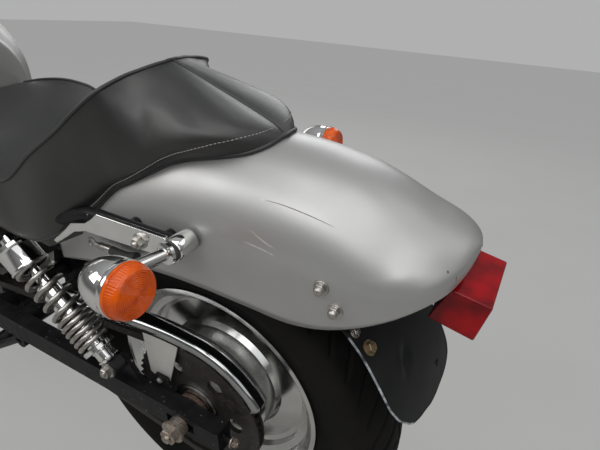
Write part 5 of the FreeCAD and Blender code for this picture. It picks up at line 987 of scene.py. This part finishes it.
# Each row: points in x and y, and the width
PALE_MARKS = [([(-0.1358, 0.1068), (-0.1530, 0.1087), (-0.1708, 0.1096)], 0.0005),
              ([(-0.1282, 0.1113), (-0.1515, 0.1111), (-0.1716, 0.1112)], 0.0004),
              ([(-0.1349, 0.0888), (-0.1431, 0.0890), (-0.1516, 0.0899)], 0.0012)]
# The first row is painted shade along a thin crease; the second is a chip and the third a rust speck.
DARK_MARKS = [([(-0.1453, 0.0883), (-0.1680, 0.0872), (-0.1899, 0.0868), (-0.2327, 0.0862)], 0.0005),
              ([(-0.3520, 0.0624), (-0.3530, 0.0627), (-0.3540, 0.0630)], 0.0022),
              ([(-0.3612, 0.0575), (-0.3618, 0.0575), (-0.3624, 0.0573)], 0.0010)]


def ribbon(line, width, count=40):
    """Points beside a line in X and Y, dropped onto the fender: half the width times the square
    root of a sine, so that it shrinks to nothing at both ends."""
    line = smooth_line(line, count)
    way = np.gradient(line, axis=0)
    side = np.column_stack([-way[:, 1], way[:, 0]]) / np.linalg.norm(way, axis=1)[:, None]
    half = width / 2 * np.sin(np.linspace(0, np.pi, count))[:, None] ** 0.5 + 1e-5
    edges = np.stack([line - side * half, line + side * half], 1)
    points = np.concatenate([edges, on_fender(edges[..., 0], edges[..., 1])[..., None] + MARK_LIFT], -1)
    return points.reshape(-1, 3), grid_faces(count, 2)


for name, rows, look in (("fender_scratches", PALE_MARKS, "fender_mark"),
                         ("fender_chips_and_crease_shade", DARK_MARKS, "fender_chip")):
    marks = [ribbon(line, width) for line, width in rows]
    make_piece(name, *gather(marks), "chassis", look, "silver_paint", closed=False)

# %% [markdown]
# ## The tail lamp
# A faceted red lens with slightly rounded edges, drawn as one outline seen from the side and
# given the lamp's width. The bevel along its edges draws the one bright line between the faces.

# %% Tail lamp
LAMP_OUTLINE = np.array([(-404, 673), (-393, 622), (-339, 634), (-358, 682)]) / 1000
LAMP_HALF = 0.051
lamp_lens = make_piece("tail_lamp_lens", *plate(LAMP_OUTLINE, 0.0, LAMP_HALF), "chassis", "red_lens", sharp=30)
add_modifier(lamp_lens, "BEVEL", width=0.0022, segments=3, limit_method="ANGLE")
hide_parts("tail_lamp")

# %% [markdown]
# ## Tyres
# A tyre is one cross-section carried round the axle. The tread is a groove depth that depends on
# the angle and on the place across: a middle groove, and slanted grooves that run out over the
# shoulders. The sidewall keeps a raised ring where the mould halves meet.

# %% Tyres with tread
TREAD_DEPTH = 0.0050
SLANT_HALF, MIDDLE_HALF, GROOVE_WALL = 0.0036, 0.0030, 0.0010
MOULD_RING = 0.0009


def tyre(name, hub, sizes, blocks, body, node):
    """Points at (y, radius) of a smooth section; the radius loses the groove depth, which is a
    clipped ramp of the distance to the nearest groove line, measured along the tread."""
    radius, half, crown_half, crown_drop, rim, bead = sizes
    shoulder, belly = radius - crown_drop, radius - 2.9 * crown_drop
    half_section = smooth_line([(0, radius), (crown_half * 0.52, radius - crown_drop * 0.26),
                                (crown_half, shoulder), (half - 0.0045, shoulder - 0.36 * (shoulder - belly)),
                                (half, belly), (half - 0.005, belly - 0.024), (bead + 0.008, rim + 0.018),
                                (bead, rim + 0.003)], 44)
    inner_edge = [(-bead, rim - 0.012), (bead, rim - 0.012)]
    y, r = np.vstack([half_section[::-1], half_section[1:] * [-1, 1], inner_edge]).T
    angle = np.linspace(0, 2 * np.pi, 1100, endpoint=False)[:, None]
    pitch = 2 * np.pi * radius / blocks
    slant = angle * radius + np.sign(y) * 0.25 * pitch + 1.25 * np.abs(y)
    to_line = np.abs((slant / pitch + 0.5) % 1.0 - 0.5) * pitch
    ramp = np.clip((SLANT_HALF - to_line) / GROOVE_WALL, 0, 1) * np.clip((np.abs(y) - 0.010) / 0.001, 0, 1)
    middle = np.clip((MIDDLE_HALF - np.abs(y)) / GROOVE_WALL, 0, 1) + 0 * angle
    fade = np.clip((r - (shoulder - 0.007)) / 0.004, 0, 1)
    round_radius = r - TREAD_DEPTH * np.maximum(ramp, middle) * fade
    ring = MOULD_RING * np.exp(-((r - (belly - 0.012)) / 0.0012) ** 2) * np.sign(y)
    points = hub + np.stack([round_radius * np.sin(angle), y + ring + 0 * angle,
                             round_radius * np.cos(angle)], -1)
    faces = grid_faces(len(angle), len(y), True, True)
    piece = make_piece(name, points, faces, body, "tyre_rubber", sharp=50)
    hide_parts(node)


# Radius, half width, crown half width, crown drop, rim radius, bead half width
REAR_SIZES = (0.325, 0.075, 0.052, 0.017, 0.204, 0.0458)
FRONT_SIZES = (0.320, 0.065, 0.046, 0.013, 0.217, 0.0388)
tyre("rear_tyre_rubber", REAR_HUB, REAR_SIZES, 44, "rear_wheel", "rear_tyre")
tyre("front_tyre_rubber", FRONT_HUB, FRONT_SIZES, 48, "front_wheel", "front_tyre")

# %% [markdown]
# ## Fasteners
# Bolts and nuts tell where one part ends and the next begins. Each row of the table puts one on
# the face of a CAD part, with its size across the flats and, for a cap nut, its dome.

# %% Nuts and bolts
# Columns: x, y, z in millimetres, direction, across flats, head height, dome
RUSTY_NUTS = [
    (0, 154, 325, (0, 1, 0), 27, 12, 0), (0, -154, 325, (0, -1, 0), 27, 12, 0),
    (-94, 123, 325, (-1, 0, 0), 13, 8, 0), (-94, -123, 325, (-1, 0, 0), 13, 8, 0),
]
STEEL_BOLTS = [
    (129, 153, 394, (0, 1, 0), 17, 9, 0), (129, -153, 394, (0, -1, 0), 17, 9, 0),
    (338, 153, 592, (0, 1, 0), 17, 9, 8), (338, -153, 592, (0, -1, 0), 17, 9, 8),
    (60, 107, 368, (0, 1, 0), 10, 7, 0),
    (4, 146, 682, (0, 1, 0), 14, 7, 5), (4, -146, 682, (0, -1, 0), 14, 7, 5),
    (900, 166, 452, (0, 1, 0), 8, 5, 0),
]
# Columns, millimetres: each round cover's middle x and z, its face's y, and its bolt ring's radius
CASE_COVERS = [(850, 330, 114, 88), (760, 324, -118, 96)]
CASE_BOLTS = [(x + ring * math.cos(a), y, z + ring * math.sin(a), (0, y, 0), 8, 5, 0)
              for x, z, y, ring in CASE_COVERS for a in np.radians(np.arange(15, 375, 45))]
# Columns, millimetres: x, z
FENDER_NUTS = [(-231, 676), (-249, 650)]


def fastener(x, y, z, direction, flats, head, dome):
    """A bolt from a row in millimetres."""
    return bolt(np.array((x, y, z)) / 1000, direction, flats / 1000, head / 1000, dome / 1000)


for name, rows, look in (("case_bolts", CASE_BOLTS, "spring_steel"), ("axle_nuts", RUSTY_NUTS, "axle_steel"),
                         ("steel_bolts", STEEL_BOLTS, "spring_steel")):
    parts = [fastener(*row) for row in rows]
    make_piece(name, *gather(parts), "chassis", look, "axle_steel", sharp=30)
cap_nuts = [bolt((x / 1000, float(np.interp(x / 1000, fender_sections[::-1, 0], fender_sections[::-1, 1])),
                  z / 1000), (0.0, 1, 0.05), 0.012, 0.005, 0.0062) for x, z in FENDER_NUTS]
make_piece("fender_cap_nuts", *gather(both_sides(cap_nuts)), "chassis", "spring_steel", "axle_steel", sharp=30)

# %% [markdown]
# ## The clock
# The clock is a shallow cup with a chrome ring, a black dial, pale marks every ten degrees and a
# needle. All of it is turned about the clock's axis or laid flat on the dial.

# %% Clock
CLOCK_AT, CLOCK_WAY = np.array([1.1933, 0.0, 0.9832]), np.array([-0.5735, 0.0, 0.8192])
DIAL_LIFT, NEEDLE_DEGREES = 0.0009, -118
clock_turn = facing(CLOCK_WAY)
# Columns: height, radius
BEZEL_ROWS = [(-0.010, 0.0412), (0.0015, 0.0416), (0.0030, 0.0405), (0.0030, 0.0385), (0.0008, 0.0380),
              (-0.010, 0.0380), (-0.010, 0.0412)]
DIAL_ROWS = [(-0.0005, 1e-6), (-0.0005, 0.0381), (0.0006, 0.0381), (0.0006, 1e-6)]
make_piece("clock_ring", *turned(BEZEL_ROWS, CLOCK_AT, CLOCK_WAY, 72), "steering", "chrome", sharp=40)
make_piece("clock_dial", *turned(DIAL_ROWS, CLOCK_AT, CLOCK_WAY, 64), "steering", "black_plastic", sharp=40)


def dial_bar(degrees, near, far, radius):
    """A thin bar on the dial from one radius to another, along the given angle."""
    turn = math.radians(degrees)
    local = [[r * math.cos(turn), r * math.sin(turn), DIAL_LIFT] for r in np.linspace(near, far, 3)]
    return bar(np.array(local) @ clock_turn.T + CLOCK_AT, radius, 6)


dial_marks = [dial_bar(degrees, 0.0310 if degrees % 30 else 0.0285, 0.0345, 0.0004)
              for degrees in range(-120, 121, 10)]
needle = dial_bar(NEEDLE_DEGREES, -0.006, 0.027, 0.0007)
make_piece("clock_marks", *gather(dial_marks + [needle]), "steering", "fender_mark", "black_plastic")

# %% [markdown]
# ## The grips
# The rubber grips have ribs all round, moulded so that a wet glove doesn't slip. The ribs are a
# cosine wave along the turned profile.

# %% Grips
GRIP_AT, GRIP_WAY, RIB_PITCH = (0.9496, 0.436, 1.0103), (0.9359, -0.296, 0.191), 0.004
grip_rows = ([(-0.004, 1e-6), (-0.004, 0.0150), (0.000, 0.0172)]
             + [(at, 0.0166 + 0.0006 * math.cos(2 * math.pi * at / RIB_PITCH))
                for at in np.linspace(0.004, 0.116, 225)]
             + [(0.118, 0.0190), (0.123, 0.0190), (0.124, 0.0175), (0.124, 1e-6)])
both_grips = both_sides([turned(grip_rows, GRIP_AT, GRIP_WAY, 40)])
grips = make_piece("grip_ribs", *gather(both_grips), "steering", "black_rubber", sharp=60)
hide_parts("grips")
